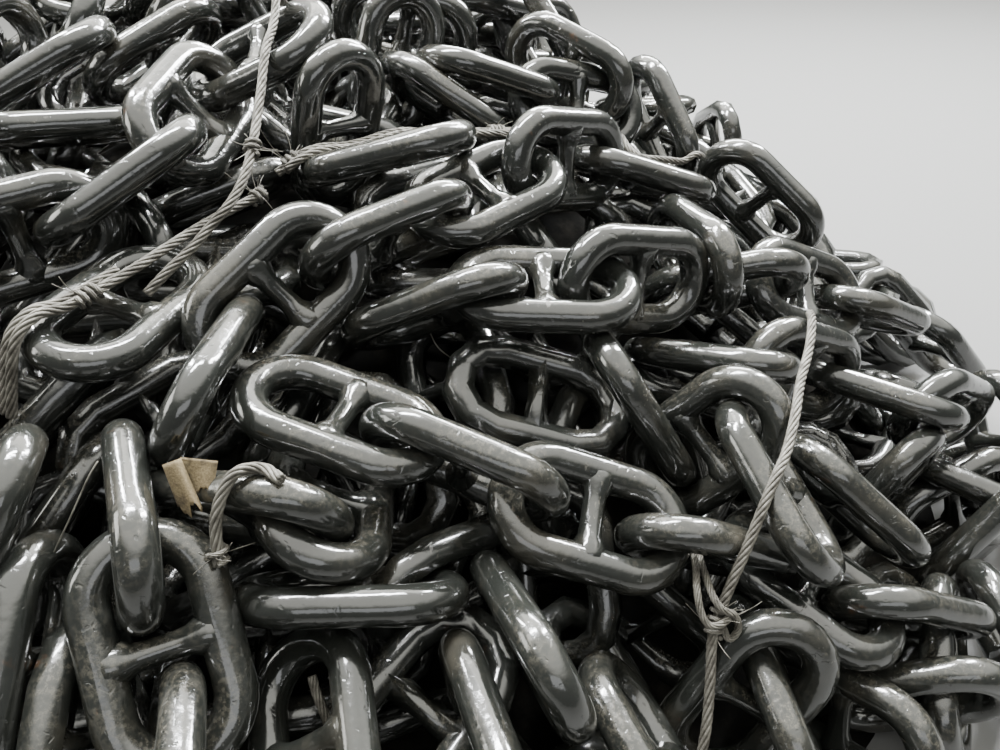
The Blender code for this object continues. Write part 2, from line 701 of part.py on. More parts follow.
def keep_largest(mesh):
    """Drops the crumbs that the pockets leave cut off from the core."""
    form = bmesh.new()
    form.from_mesh(mesh)
    left, islands = set(form.verts), []
    while left:
        front = [left.pop()]
        island = set(front)
        while front:
            vertex = front.pop()
            for edge in vertex.link_edges:
                other = edge.other_vert(vertex)
                if other in left:
                    left.discard(other)
                    island.add(other)
                    front.append(other)
        islands.append(island)
    largest = max(islands, key=len)
    bmesh.ops.delete(form, geom=[v for v in form.verts if v not in largest], context="VERTS")
    form.to_mesh(mesh)
    form.free()


def make_core(middles, turns, paint):
    """The buried links as one mound, with the flank links on it and a pocket for each outer one."""
    mound = mesh_object("mound", *core_mound(), paint)
    coarse = ring_mesh(FLANK_SIDES, BAR / 2, link_path(FLANK_CROWN_STEPS))
    stud = stud_mesh(STUD_SIDES)
    flank = []
    for spot, angles in flank_places(middles):
        turn = flank_turn(spot, angles)
        ring = mesh_object("flank_ring", *coarse, paint)
        spot = np.array([spot[0], spot[1], max(spot[2] - FLANK_SINK, link_drop(turn) + CORE_GAP)])
        flank.append(placed(ring, spot, turn))
        bar = mesh_object("flank_stud", *stud, paint)
        flank.append(placed(bar, spot, turn))
    links = gather("flank_links", flank)
    boolean(mound, "UNION", links)
    mound_mesh = settled_mesh(mound)
    pockets = []
    for middle, turn in zip(middles, turns):
        pockets.append(placed(mesh_object("pocket", *pocket_mesh()), middle, turn))
    core = bpy.data.objects.new("buried_links", mound_mesh)
    bpy.context.scene.collection.objects.link(core)
    boolean(core, "DIFFERENCE", gather("pockets", pockets))
    core_mesh = settled_mesh(core)
    keep_largest(core_mesh)
    core.modifiers.clear()
    core.data = core_mesh
    for thing in flank + pockets + [mound]:
        bpy.data.objects.remove(thing)


# The wire ropes

def plan_route(points):
    """The route over the ground: a smooth curve through the spots, at even short steps."""
    spots = np.array([spot_on_skin(across, down, 0.0)[:2] for across, down in points])
    padded = np.concatenate([2 * spots[:1] - spots[1:2], spots, 2 * spots[-1:] - spots[-2:-1]])
    share = np.linspace(0, 1, ROPE_CURVE_STEPS, endpoint=False)[:, None]
    pieces = []
    for k in range(len(spots) - 1):
        a, b, c, d = padded[k:k + 4]
        bend, twist = 2 * a - 5 * b + 4 * c - d, 3 * b - a - 3 * c + d
        pieces.append(0.5 * (2 * b + (c - a) * share + bend * share ** 2 + twist * share ** 3))
    curve = np.concatenate(pieces + [spots[-1:]])
    gone = np.concatenate([[0], np.cumsum(np.linalg.norm(np.diff(curve, axis=0), axis=1))])
    even = np.linspace(0, gone[-1], int(gone[-1] / ROPE_SAMPLE) + 2)
    return even, np.stack([np.interp(even, gone, curve[:, k]) for k in range(2)], axis=1)


def resting_height(plan, middles, turns):
    """How high the rope's middle line lies at each spot, on the links and the core below it."""
    share = np.linspace(0, 1, BALLS_PER_BAR)[None, :, None]
    bars = (BAR_FROM[:, None] + share * (BAR_TO - BAR_FROM)[:, None]).reshape(-1, 3)
    reach = np.repeat(BAR_RADIUS, BALLS_PER_BAR) * math.cos(math.pi / BAR_SIDES) + ROPE / 2
    height = skin_height(plan[:, 0], plan[:, 1]) - CORE_DEPTH + ROPE / 2 + ROPE_GAP
    for middle, turn in zip(middles, turns):
        balls = middle + bars @ turn.T
        aside = ((plan[:, None] - balls[None, :, :2]) ** 2).sum(-1)
        top = balls[:, 2] + np.sqrt(np.maximum(reach ** 2 - aside, 0))
        height = np.maximum(height, np.where(aside < reach ** 2, top, -1.0).max(axis=1))
    return height


def taut_height(gone, height):
    """A line drawn tight over the heights: their upper hull."""
    hull = [0]
    for k in range(1, len(gone)):
        while len(hull) > 1:
            a, b = hull[-2], hull[-1]
            rise = (height[b] - height[a]) * (gone[k] - gone[a])
            if rise > (height[k] - height[a]) * (gone[b] - gone[a]):
                break
            hull.pop()
        hull.append(k)
    return np.interp(gone, gone[hull], height[hull])


def rope_points(points, middles, turns):
    gone, plan = plan_route(points)
    height = resting_height(plan, middles, turns)
    taut = taut_height(gone, height)
    count = min(ROPE_MOST_POINTS, int(gone[-1] / ROPE_STEP) + 2)
    stations = np.linspace(0, gone[-1], count)
    flat = [np.interp(stations, gone, plan[:, k]) for k in range(2)]
    points = np.stack(flat + [np.interp(stations, gone, taut)], axis=1)
    bars = Bars(*(part.reshape(-1, 3) for part in bars_of(middles, turns)))
    for _ in range(ROPE_LIFT_TRIES):
        short, rise = rope_shortfall(points, bars, np.tile(BAR_RADIUS, len(middles)))
        if short.max() <= 0:
            break
        lift = np.zeros(count)
        np.maximum.at(lift, np.arange(count - 1), short / rise)
        np.maximum.at(lift, np.arange(1, count), short / rise)
        points[:, 2] += np.minimum(lift, ROPE / 4)
    return points


def rope_shortfall(points, bars, radius):
    """How much each stretch of rope lacks of its clearance, and how steeply it would gain it."""
    before, after = points[:-1, None], points[1:, None]
    on_rope, on_bar = nearest_points(before, after, bars.start[None], bars.end[None])
    way = on_rope - on_bar
    apart = np.linalg.norm(way, axis=-1)
    way = way / np.maximum(apart, 1e-9)[..., None]
    gap = apart - section_reach(way, bars.out[None], bars.face[None], radius) - ROPE / 2
    worst = gap.argmin(axis=1)
    rows = np.arange(len(gap))
    short = np.maximum(ROPE_GAP - gap[rows, worst], 0)
    return np.where(short > 1e-6, short, 0), np.maximum(way[rows, worst, 2], ROPE_LEAST_RISE)


def make_rope(name, points, paint):
    line = bpy.data.curves.new(name, "CURVE")
    line.dimensions = "3D"
    line.bevel_depth = ROPE / 2
    line.bevel_resolution = 2
    line.use_fill_caps = True
    spline = line.splines.new("POLY")
    spline.points.add(len(points) - 1)
    for point, spot in zip(spline.points, points):
        point.co = (*spot, 1.0)
    line.materials.append(paint)
    made = bpy.data.objects.new(name, line)
    bpy.context.scene.collection.objects.link(made)
    return made


def stand_on_origin():
    """Moves all pieces so that the middle of the chain's footprint is the origin."""
    bpy.context.view_layer.update()
    pieces = list(bpy.context.scene.collection.objects)
    chain = [piece for piece in pieces if piece.type == "MESH"]
    corners = np.array([piece.matrix_world @ vertex.co for piece in chain for vertex in piece.data.vertices])
    low, high = corners.min(axis=0), corners.max(axis=0)
    middle = Vector(((low[0] + high[0]) / 2, (low[1] + high[1]) / 2, low[2]))
    for piece in pieces:
        piece.location -= middle
    return middle


def main():
    clear_scene()
    black = material("bitumen_paint", LINK_RGBA, 0.22, 0.0)
    dark = material("buried_bitumen", CORE_RGBA, 0.5, 0.0)
    names = [seen.name for seen in SEEN_LINKS]
    middles = np.array([spot_on_skin(seen.across, seen.down, seen.lift) for seen in SEEN_LINKS])
    turns = np.array([seen_turn(seen) for seen in SEEN_LINKS])
    middles, turns = Easing(middles, turns, coupled_ends(names)).run()
    link = make_link_mesh(black)
    for name, middle, turn in zip(names, middles, turns):
        made = bpy.data.objects.new(name, link)
        bpy.context.scene.collection.objects.link(made)
        placed(made, middle, turn)
    make_core(middles, turns, dark)
    wire = material("wire_rope", ROPE_RGBA, 0.6, 0.4)
    for rope in ROPES:
        make_rope(rope.name, rope_points(rope.points, middles, turns), wire)
    return stand_on_origin()


ORIGIN = main()
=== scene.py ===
# %% [markdown]
# # A heap of stud-link anchor chain
# Some ninety metres of chain thrown in a heap is really one shape, the link, laid some hundreds
# of times. The lesson builds that link once, as a surface worked out from a formula, and then
# spends its care on where each one lies, on the bitumen paint, and on the wire rope lashings.
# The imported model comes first: every piece below takes its place from it.

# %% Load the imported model
import math

import bpy
import numpy as np
from mathutils import Matrix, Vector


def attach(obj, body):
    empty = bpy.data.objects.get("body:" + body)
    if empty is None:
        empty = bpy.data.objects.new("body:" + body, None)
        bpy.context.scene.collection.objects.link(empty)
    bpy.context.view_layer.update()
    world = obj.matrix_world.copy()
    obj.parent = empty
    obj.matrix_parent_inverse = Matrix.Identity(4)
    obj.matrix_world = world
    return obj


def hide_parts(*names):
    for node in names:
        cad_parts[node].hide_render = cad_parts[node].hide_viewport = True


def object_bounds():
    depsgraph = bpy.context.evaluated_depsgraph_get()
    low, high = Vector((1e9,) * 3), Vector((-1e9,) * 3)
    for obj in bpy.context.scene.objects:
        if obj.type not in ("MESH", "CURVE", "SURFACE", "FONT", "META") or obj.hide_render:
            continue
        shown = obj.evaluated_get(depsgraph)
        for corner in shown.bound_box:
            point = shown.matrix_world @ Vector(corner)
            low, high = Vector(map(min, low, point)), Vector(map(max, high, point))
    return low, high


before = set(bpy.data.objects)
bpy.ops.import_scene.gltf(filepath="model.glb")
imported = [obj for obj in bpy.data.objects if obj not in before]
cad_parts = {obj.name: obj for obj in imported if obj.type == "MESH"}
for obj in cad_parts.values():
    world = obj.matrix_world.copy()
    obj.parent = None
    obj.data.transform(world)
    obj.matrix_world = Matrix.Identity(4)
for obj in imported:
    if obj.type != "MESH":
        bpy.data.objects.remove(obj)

CAD_BOX = [list(corner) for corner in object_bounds()]
LINK_NODES = sorted(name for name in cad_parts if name.startswith("run_"))
ROPE_NODES = sorted(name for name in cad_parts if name.startswith("lashing_"))
print("links", len(LINK_NODES), "lashings", len(ROPE_NODES), "box", CAD_BOX)

# %% [markdown]
# ## The eye
# The picture was taken from a little over a metre up, looking down on the front of the heap with
# the camera tipped a few degrees. The same eye serves twice here: as the scene's camera, and to
# find where on the heap something lies that is only known by its place in the picture.

# %% The eye and the camera
EYE = np.array([0.13673, -1.11776, 1.05])
LOOK_DOWN = math.radians(36.5)
LEAN = math.radians(3.0)
FOCAL_PIXELS = 800.0
PICTURE_WIDTH = 1000.0
PICTURE_HEIGHT = 750.0
MIDDLE_ACROSS = 500.0
MIDDLE_DOWN = 375.0
SENSOR = 36.0
NEAREST_SEEN = 0.02


def unit(way):
    """The same direction, of length one."""
    return way / np.linalg.norm(way)


def new_object(name, data):
    """An object that holds data, in the scene."""
    thing = bpy.data.objects.new(name, data)
    bpy.context.scene.collection.objects.link(thing)
    return thing


def set_down(thing, side, up, back, place):
    """Puts an object at place, its own three axes along side, up and back."""
    axes = np.eye(4)
    axes[:3, 0], axes[:3, 1], axes[:3, 2], axes[:3, 3] = side, up, back, place
    thing.matrix_world = Matrix(axes.tolist())


def eye_axes():
    """Right, up and forward: level axes turned down by LOOK_DOWN, then leant by LEAN."""
    forward = np.array([0.0, math.cos(LOOK_DOWN), -math.sin(LOOK_DOWN)])
    level_right = np.array([1.0, 0.0, 0.0])
    level_up = np.array([0.0, math.sin(LOOK_DOWN), math.cos(LOOK_DOWN)])
    right = math.cos(LEAN) * level_right - math.sin(LEAN) * level_up
    up = math.sin(LEAN) * level_right + math.cos(LEAN) * level_up
    return right, up, forward


RIGHT, UP, FORWARD = eye_axes()
camera_data = bpy.data.cameras.new("eye")
camera_data.sensor_width = SENSOR
camera_data.lens = SENSOR * FOCAL_PIXELS / PICTURE_WIDTH
camera_data.clip_start = NEAREST_SEEN
camera = new_object("eye", camera_data)
set_down(camera, RIGHT, UP, -FORWARD, EYE)
bpy.context.scene.camera = camera


def in_picture(spots):
    """Pixel across, pixel down and depth of spots: their shares along the eye's three axes."""
    away = spots - EYE
    depth = away @ FORWARD
    across = MIDDLE_ACROSS + FOCAL_PIXELS * (away @ RIGHT) / depth
    down = MIDDLE_DOWN - FOCAL_PIXELS * (away @ UP) / depth
    return across, down, depth


def sight_line(across, down):
    """The direction in which a pixel is seen, one metre deep."""
    aside = (across - MIDDLE_ACROSS) / FOCAL_PIXELS * RIGHT
    return FORWARD + aside + (MIDDLE_DOWN - down) / FOCAL_PIXELS * UP


print("camera lens", round(camera_data.lens, 2), "at", camera.matrix_world.translation)

# %% [markdown]
# ## Surfaces from arrays
# Every new piece is a grid of points: rows along a path, columns round a section. NumPy works
# out all the points in one go, and the faces follow from the row and column numbers alone. That
# is shorter and far quicker than adding vertices one by one, and the grid can be made finer by
# changing two numbers.

# %% Grids and tubes
def grid_faces(rows, columns, closed_rows):
    """Four-sided faces between each row and the next; the columns always close on themselves."""
    row = np.arange(rows if closed_rows else rows - 1)[:, None]
    column = np.arange(columns)[None, :]
    after, beside = (row + 1) % rows, (column + 1) % columns
    corners = [row * columns + column, row * columns + beside,
               after * columns + beside, after * columns + column]
    return np.stack([corner + 0 * row + 0 * column for corner in corners], axis=-1).reshape(-1, 4)


def cap_faces(rows, columns):
    """Triangles that close both ends of an open tube onto two added middle points."""
    side = np.arange(columns)
    beside = (side + 1) % columns
    last = (rows - 1) * columns
    start = np.stack([beside, side, np.full(columns, rows * columns)], axis=-1)
    end = np.stack([last + side, last + beside, np.full(columns, rows * columns + 1)], axis=-1)
    return np.concatenate([start, end])


def frames_along(path, closed, toward):
    """At each station: the tangent, and two directions across it, the first nearest to toward."""
    if closed:
        tangent = np.roll(path, -1, axis=0) - np.roll(path, 1, axis=0)
    else:
        tangent = np.gradient(path, axis=0)
    tangent = tangent / np.linalg.norm(tangent, axis=1)[:, None]
    first = toward - (tangent @ toward)[:, None] * tangent
    first = first / np.linalg.norm(first, axis=1)[:, None]
    return tangent, first, np.cross(tangent, first)


def tube(path, radius, sides, toward, closed=False):
    """A circle of the given radius at each station: path + radius (first cos + second sin)."""
    _, first, second = frames_along(path, closed, np.asarray(toward, float))
    angle = np.arange(sides) * 2 * math.pi / sides
    spokes = first[:, None] * np.cos(angle)[None, :, None] + second[:, None] * np.sin(angle)[None, :, None]
    around = (path[:, None] + np.broadcast_to(radius, len(path))[:, None, None] * spokes).reshape(-1, 3)
    quads = grid_faces(len(path), sides, closed)
    if closed:
        return around, [quads]
    return np.concatenate([around, path[:1], path[-1:]]), [quads, cap_faces(len(path), sides)]


print("a tube of 5 rings with 8 sides has", len(grid_faces(5, 8, False)) + len(cap_faces(5, 8)), "faces")

# %% [markdown]
# ## From a surface to a piece
# A piece is one mesh object that stays at the origin, so its points are already where they belong.
# It rides on the imported model's body, and the imported piece it stands for, if any, is hidden.

# %% Joining surfaces, and making pieces
def joined(parts):
    """Many surfaces as one: their points in a row, their faces renumbered to match."""
    points = np.concatenate([part[0] for part in parts])
    starts = np.cumsum([0] + [len(part[0]) for part in parts[:-1]])
    faces = [faces + start for part, start in zip(parts, starts) for faces in part[1]]
    return points, faces


def make_piece(name, points, faces, stands_for=(), slot=None):
    """Puts a surface into a mesh object at the origin, shaded smooth, riding on the one body."""
    mesh = bpy.data.meshes.new(name)
    sizes = np.concatenate([np.full(len(part), part.shape[1]) for part in faces])
    corners = np.concatenate([part.reshape(-1) for part in faces])
    mesh.vertices.add(len(points))
    mesh.vertices.foreach_set("co", points.astype(np.float32).reshape(-1))
    mesh.loops.add(len(corners))
    mesh.loops.foreach_set("vertex_index", corners.astype(np.int32))
    mesh.polygons.add(len(sizes))
    mesh.polygons.foreach_set("loop_start", np.concatenate([[0], np.cumsum(sizes)[:-1]]).astype(np.int32))
    mesh.polygons.foreach_set("loop_total", sizes.astype(np.int32))
    mesh.update(calc_edges=True)
    mesh.shade_smooth()
    piece = new_object(name, mesh)
    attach(piece, "root")
    if stands_for:
        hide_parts(*stands_for)
    return piece


# %% [markdown]
# ## Where the lashings lie
# The lashings are packed as plain tubes. Their middle lines are read off those tubes: an end face
# is found by its sharp rim, and from there the surface is walked from ring to ring, each ring's
# middle giving one point.

# %% The lashings' middle lines
SHARP_TURN = 0.5


def node_triangles(name):
    """A node's corner points, merged, and its triangles as numbers into them."""
    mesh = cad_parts[name].data
    mesh.calc_loop_triangles()
    points = np.empty(len(mesh.vertices) * 3, np.float32)
    mesh.vertices.foreach_get("co", points)
    corners = np.empty(len(mesh.loop_triangles) * 3, np.int32)
    mesh.loop_triangles.foreach_get("vertices", corners)
    keys = np.round(points.reshape(-1, 3) * 1e5).astype(np.int64)
    _, first, merged = np.unique(keys, axis=0, return_index=True, return_inverse=True)
    return points.reshape(-1, 3)[first].astype(float), merged.reshape(-1)[corners].reshape(-1, 3)


def edges_of(points, triangles):
    """Each edge once, as two point numbers, and whether the surface folds sharply along it."""
    sides = np.concatenate([triangles[:, [0, 1]], triangles[:, [1, 2]], triangles[:, [2, 0]]])
    edges = np.sort(sides, axis=1)
    owner = np.tile(np.arange(len(triangles)), 3)
    order = np.lexsort((edges[:, 1], edges[:, 0]))
    edges, owner = edges[order].reshape(-1, 2, 2)[:, 0], owner[order].reshape(-1, 2)
    corner = points[triangles]
    normal = np.cross(corner[:, 1] - corner[:, 0], corner[:, 2] - corner[:, 0])
    normal = normal / np.maximum(np.linalg.norm(normal, axis=1), 1e-15)[:, None]
    return edges, (normal[owner[:, 0]] * normal[owner[:, 1]]).sum(axis=1) < SHARP_TURN


def reached(marked, edges):
    """The points at both ends of every edge that touches a marked point."""
    touched = np.zeros(len(marked), bool)
    touched[edges[marked[edges].any(axis=1)].reshape(-1)] = True
    return touched


def middle_line(name):
    """The middles of the tube's rings, from the end face with the lowest corner numbers on."""
    points, triangles = node_triangles(name)
    edges, sharp = edges_of(points, triangles)
    ring = np.zeros(len(points), bool)
    ring[edges[sharp][0, 0]] = True
    while (reached(ring, edges[sharp]) & ~ring).any():
        ring = ring | reached(ring, edges[sharp])
    seen, rings = ring.copy(), [ring]
    while (reached(rings[-1], edges) & ~seen).any():
        rings.append(reached(rings[-1], edges) & ~seen)
        seen |= rings[-1]
    return np.array([points[ring].mean(axis=0) for ring in rings])


middle_lines = {name: middle_line(name) for name in ROPE_NODES}
for name, line in middle_lines.items():
    print(name, "rings", len(line))

# %% [markdown]
# ## The wire rope
# Each lashing is a wire rope about 12 mm thick: six strands laid round a core, each strand again
# of many fine wires. A plain tube would never read as rope, because the eye looks for the slant
# of the strands. So each strand is a tube of its own that follows a helix round the rope's
# middle line, and the fine wires are left to the bump of the material.

# %% The lashings' strands
ROPE = 0.012
ROPE_STRANDS = 6
ROPE_LAY = 0.078
STRAND_SIDES = 8
CORE_SIDES = 6
STRAND_SWELL = 1.04
ROPE_TOWARD = (0.2, -0.5, 0.8)
ROPE_STEP = 0.0035
CURVE_STEPS = 12


def smooth_through(points, step):
    """A Catmull-Rom curve through the points, then cut at even steps along its length."""
    padded = np.concatenate([2 * points[:1] - points[1:2], points, 2 * points[-1:] - points[-2:-1]])
    place = np.linspace(0, len(points) - 1, CURVE_STEPS * len(points))
    number = np.minimum(place.astype(int), len(points) - 2)
    share = (place - number)[:, None]
    a, b, c, d = (padded[number + shift] for shift in range(4))
    bend = 2 * a - 5 * b + 4 * c - d
    curve = 0.5 * (2 * b + (c - a) * share + bend * share ** 2 + (3 * b - a - 3 * c + d) * share ** 3)
    gone = np.concatenate([[0], np.cumsum(np.linalg.norm(np.diff(curve, axis=0), axis=1))])
    even = np.linspace(0, gone[-1], max(8, int(gone[-1] / step)))
    return np.stack([np.interp(even, gone, curve[:, k]) for k in range(3)], axis=1)


def length_of(path):
    """The sum of the distances from each point to the next."""
    return float(np.linalg.norm(np.diff(path, axis=0), axis=1).sum())


def wire_rope(path, diameter=ROPE, toward=ROPE_TOWARD):
    """Six strands, each a tube along path + r (first cos a + second sin a), a growing by one
    turn for each lay of the rope, and a plain core inside them."""
    _, first, second = frames_along(path, False, np.asarray(toward, float))
    gone = np.concatenate([[0], np.cumsum(np.linalg.norm(np.diff(path, axis=0), axis=1))])
    strands = [tube(path, diameter / 5, CORE_SIDES, toward)]
    for strand in range(ROPE_STRANDS):
        angle = (2 * math.pi * (gone / (ROPE_LAY * diameter / ROPE) + strand / ROPE_STRANDS))[:, None]
        line = path + diameter / 3 * (np.cos(angle) * first + np.sin(angle) * second)
        strands.append(tube(line, diameter / 6 * STRAND_SWELL, STRAND_SIDES, toward))
    return joined(strands)


rope_lines = {name: smooth_through(line, ROPE_STEP) for name, line in middle_lines.items()}
ropes = {}
for name, line in rope_lines.items():
    ropes[name] = make_piece(name + "_strands", *wire_rope(line), stands_for=[name], slot="wire_rope")
    print(name, "length", round(length_of(line), 3), "stations", len(line))

# %% [markdown]
# ## Knots, whippings and stray wires
# The lashings are joined where they cross: one rope's end is unlaid and its strands are wound
# round the other. Each winding is a helix round the rope's middle line. From every cut end a few
# fine wires spring out, and these give the knots their rough look.

# %% Windings round a rope
STRAND = 0.0055
WIRE_HAIR = 0.0009
HAIR_STATIONS = 9
HAIR_SIDES = 5
SHORTEST_SHARE = 0.4
WINDING_STEP = 0.0008
SIGHT_STEP = 0.002
RIGHT_KNOT = (724, 616)


def station_at(name, across, down):
    """Number of the rope's station that shows nearest to a pixel."""
    seen_across, seen_down, _ = in_picture(rope_lines[name])
    return int(np.argmin(np.hypot(seen_across - across, seen_down - down)))


def winding(name, across, down, turns, length, start=0.0):
    """A strand wound round the rope: line + r (first cos a + second sin a), a from start on."""
    middle = station_at(name, across, down)
    reach = max(2, int(length / ROPE_STEP / 2))
    low, high = max(0, middle - reach), min(len(rope_lines[name]), middle + reach + 1)
    line = smooth_through(rope_lines[name][low:high], WINDING_STEP)
    _, first, second = frames_along(line, False, np.array(ROPE_TOWARD))
    angle = start + 2 * math.pi * turns * np.linspace(0, 1, len(line))[:, None]
    radius = (ROPE + STRAND) / 2
    return wire_rope(line + radius * (np.cos(angle) * first + np.sin(angle) * second), STRAND, (0, 0, 1))


def by_sight(points, depth):
    """A smooth line through spots given as pixels and a length nearer than depth."""
    spots = [EYE + (depth - nearer) * sight_line(across, down) for across, down, nearer in points]
    return smooth_through(np.array(spots), SIGHT_STEP)


def stray_wires(spot, count, longest, seed):
    """Fine wires that spring from a spot: each bends off as the square of its length."""
    draw = np.random.default_rng(seed)
    share = np.linspace(0, 1, HAIR_STATIONS)[:, None]
    wires = []
    for _ in range(count):
        way = draw.normal(0, 1, 3)
        way[2] = abs(way[2])
        way = unit(way)
        bend = np.cross(way, draw.normal(0, 1, 3))
        length = longest * draw.uniform(SHORTEST_SHARE, 1.0)
        line = spot + length * (share * way + 0.5 * share ** 2 * bend)
        wires.append(tube(line, WIRE_HAIR / 2, HAIR_SIDES, np.cross(way, bend)))
    return joined(wires)


print("the right knot is at station", station_at("lashing_right", *RIGHT_KNOT))

# %% The knots' windings, and their stray wires
HAIRS = 7
LONGEST_HAIR = 0.045
WINDINGS = {
    "lashing_right": [(*RIGHT_KNOT, 2.5, 0.022, 0.0), (716, 632, 1.5, 0.014, 1.0)],
    "lashing_left_upper": [(92, 304, 3.5, 0.030, 0.0), (250, 176, 2.5, 0.024, 2.0)],
    "lashing_left_lower": [(262, 150, 2.5, 0.022, 1.0), (288, 66, 2.0, 0.016, 0.5)],
    "lashing_top": [(280, 150, 3.5, 0.032, 0.5), (495, 113, 4.5, 0.034, 0.0)],
    "lashing_front": [(238, 553, 1.5, 0.012, 0.0)],
}
knots = {name: [] for name in ROPE_NODES}
for number, (name, rows) in enumerate(WINDINGS.items()):
    wound = [winding(name, *row) for row in rows]
    spots = [rope_lines[name][station_at(name, *row[:2])] for row in rows]
    hairs = [stray_wires(spot, HAIRS, LONGEST_HAIR, 10 * number + k) for k, spot in enumerate(spots)]
    knots[name].append(make_piece(name + "_knots", *joined(wound), slot="wire_rope"))
    knots[name].append(make_piece(name + "_stray_wires", *joined(hairs), slot="wire_rope"))
    print(name, "windings", len(rows))

# %% The right knot's two ends
KNOT_END_SIZE = 0.0085
knot_station = rope_lines["lashing_right"][station_at("lashing_right", *RIGHT_KNOT)]
KNOT_DEPTH = float((knot_station - EYE) @ FORWARD)
KNOT_ENDS = [
    [(693, 552, -0.040), (696, 568, -0.014), (697, 590, 0.008), (701, 612, 0.012), (709, 625, 0.014),
     (722, 624, 0.016), (734, 612, 0.010)],
    [(699, 556, -0.042), (705, 574, -0.014), (713, 596, 0.010), (722, 609, 0.016), (735, 616, 0.016),
     (738, 630, 0.010), (729, 639, 0.006), (723, 628, 0.002)],
]
END_TOWARD = (0.3, -0.6, 0.7)
end_lines = [by_sight(points, KNOT_DEPTH) for points in KNOT_ENDS]
ends = joined([wire_rope(line, KNOT_END_SIZE, END_TOWARD) for line in end_lines])
knots["lashing_right"].append(make_piece("lashing_right_ends", *ends, slot="wire_rope"))
print("right knot's ends, lengths", [round(length_of(line), 3) for line in end_lines])

# %% [markdown]
# ## Loose ends and thin wires
# A rope's loose end and two pieces of thin wire lie between the links. Nothing packed shows where
# they are, so each follows its own place in the picture, at the depth of a packed link beside it.
# Two of the lashings also have a second part, a rope laid close along the first.

# %% Thin wires, and the loose end
THIN_WIRE = 0.0016
THIN_SIDES = 6
THIN_WIRES = [
    [(98, 461, 0.0), (88, 478, 0.004), (70, 518, 0.006), (54, 552, 0.0)],
    [(424, 316, 0.0), (437, 346, 0.006), (460, 365, 0.004), (470, 384, 0.002), (476, 400, 0.0)],
]
THIN_BESIDE = [(120, 470), (400, 330)]
LOOSE_END_SIZE = 0.010
LOOSE_BESIDE = (275, 705)
LOOSE_END = [(312, 676, 0.0), (316, 692, 0.004), (325, 715, 0.006), (332, 735, 0.004), (338, 762, 0.0)]
FAR_OFF = 1.5
BEHIND_NEIGHBOUR = 0.010


def packed_depth(across, down):
    """The depth at which the sight line through a pixel first meets a packed link."""
    way = sight_line(across, down)
    hits = []
    for name in LINK_NODES:
        hit, spot, _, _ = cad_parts[name].ray_cast(EYE.tolist(), way.tolist())
        if hit:
            hits.append(float((np.array(spot) - EYE) @ FORWARD))
    return min(hits, default=FAR_OFF)


thin_lines = [by_sight(points, packed_depth(*beside) + BEHIND_NEIGHBOUR)
              for points, beside in zip(THIN_WIRES, THIN_BESIDE)]
thin_tubes = [tube(line, THIN_WIRE / 2, THIN_SIDES, ROPE_TOWARD) for line in thin_lines]
thin_wires = [make_piece("thin_wire_" + str(number + 1), *surface, slot="wire_rope")
              for number, surface in enumerate(thin_tubes)]
loose_line = by_sight(LOOSE_END, packed_depth(*LOOSE_BESIDE) + BEHIND_NEIGHBOUR)
loose_strands = wire_rope(loose_line, LOOSE_END_SIZE, END_TOWARD)
loose_end = make_piece("loose_rope_end", *loose_strands, slot="wire_rope")
print("loose end and thin wires", [round(length_of(line), 3) for line in (loose_line, *thin_lines)])

# %% Second parts of two lashings
PART_WAVE = 0.002
PART_GAP = 0.0015


def laid_beside(name, first_share, last_share, side, rise, wander):
    """A second rope along part of a first: the line, moved aside by one rope and a slow wave."""
    line = rope_lines[name]
    part = line[int(first_share * len(line)):int(last_share * len(line))]
    _, up, aside = frames_along(part, False, np.array([0.0, 0.0, 1.0]))
    wave = np.sin(np.linspace(0, wander, len(part)))[:, None] * PART_WAVE
    return part + (side * (ROPE + PART_GAP) + wave) * aside + rise * up


top_second = laid_beside("lashing_top", 0.02, 0.62, 1.0, 0.001, 5.0)
left_second = laid_beside("lashing_left_upper", 0.0, 0.52, -1.0, 0.001, 4.0)
top_pair = make_piece("lashing_top_second_part", *wire_rope(top_second), slot="wire_rope")
left_pair = make_piece("lashing_left_second_part", *wire_rope(left_second), slot="wire_rope")
knots["lashing_top"].append(top_pair)
knots["lashing_left_upper"].append(left_pair)
wire_pieces = list(ropes.values()) + [piece for row in knots.values() for piece in row]
wire_pieces += thin_wires + [loose_end]
print("wire pieces", len(wire_pieces))

# %% Counting the lashings
print("cords declared", len(rope_lines) + 1 + len(thin_wires))

# %% [markdown]
# ## Shader trees in a few words
# The floor, the studio's walls and every finish are trees of nodes. Most of a tree is the same few
# steps: soft random patches, a climb between two levels, a sum or a product, and one colour laid
# over another. Each step is a helper here, so that a finish can be read like a recipe.

# %% Steps of a shader tree
def new_material(name):
    """A material with nodes: itself, its tree and its main shader."""
    made = bpy.data.materials.new(name)
    made.use_nodes = True
    return made, made.node_tree, made.node_tree.nodes["Principled BSDF"]


def add(tree, kind, **settings):
    """A new node of a kind, with its settings."""
    node = tree.nodes.new(kind)
    for label, value in settings.items():
        setattr(node, label, value)
    return node


def noise(tree, place, scale, detail, roughness=0.55, distortion=0.0):
    """Soft random patches, scale of them to a metre."""
    node = add(tree, "ShaderNodeTexNoise")
    tree.links.new(place, node.inputs["Vector"])
    node.inputs["Scale"].default_value = scale
    node.inputs["Detail"].default_value = detail
    node.inputs["Roughness"].default_value = roughness
    node.inputs["Distortion"].default_value = distortion
    return node.outputs["Fac"]


def between(tree, value, low, high):
    """0 below low, 1 above high, and a smooth climb between."""
    node = add(tree, "ShaderNodeMapRange", interpolation_type="SMOOTHSTEP")
    tree.links.new(value, node.inputs["Value"])
    node.inputs["From Min"].default_value = low
    node.inputs["From Max"].default_value = high
    return node.outputs["Result"]


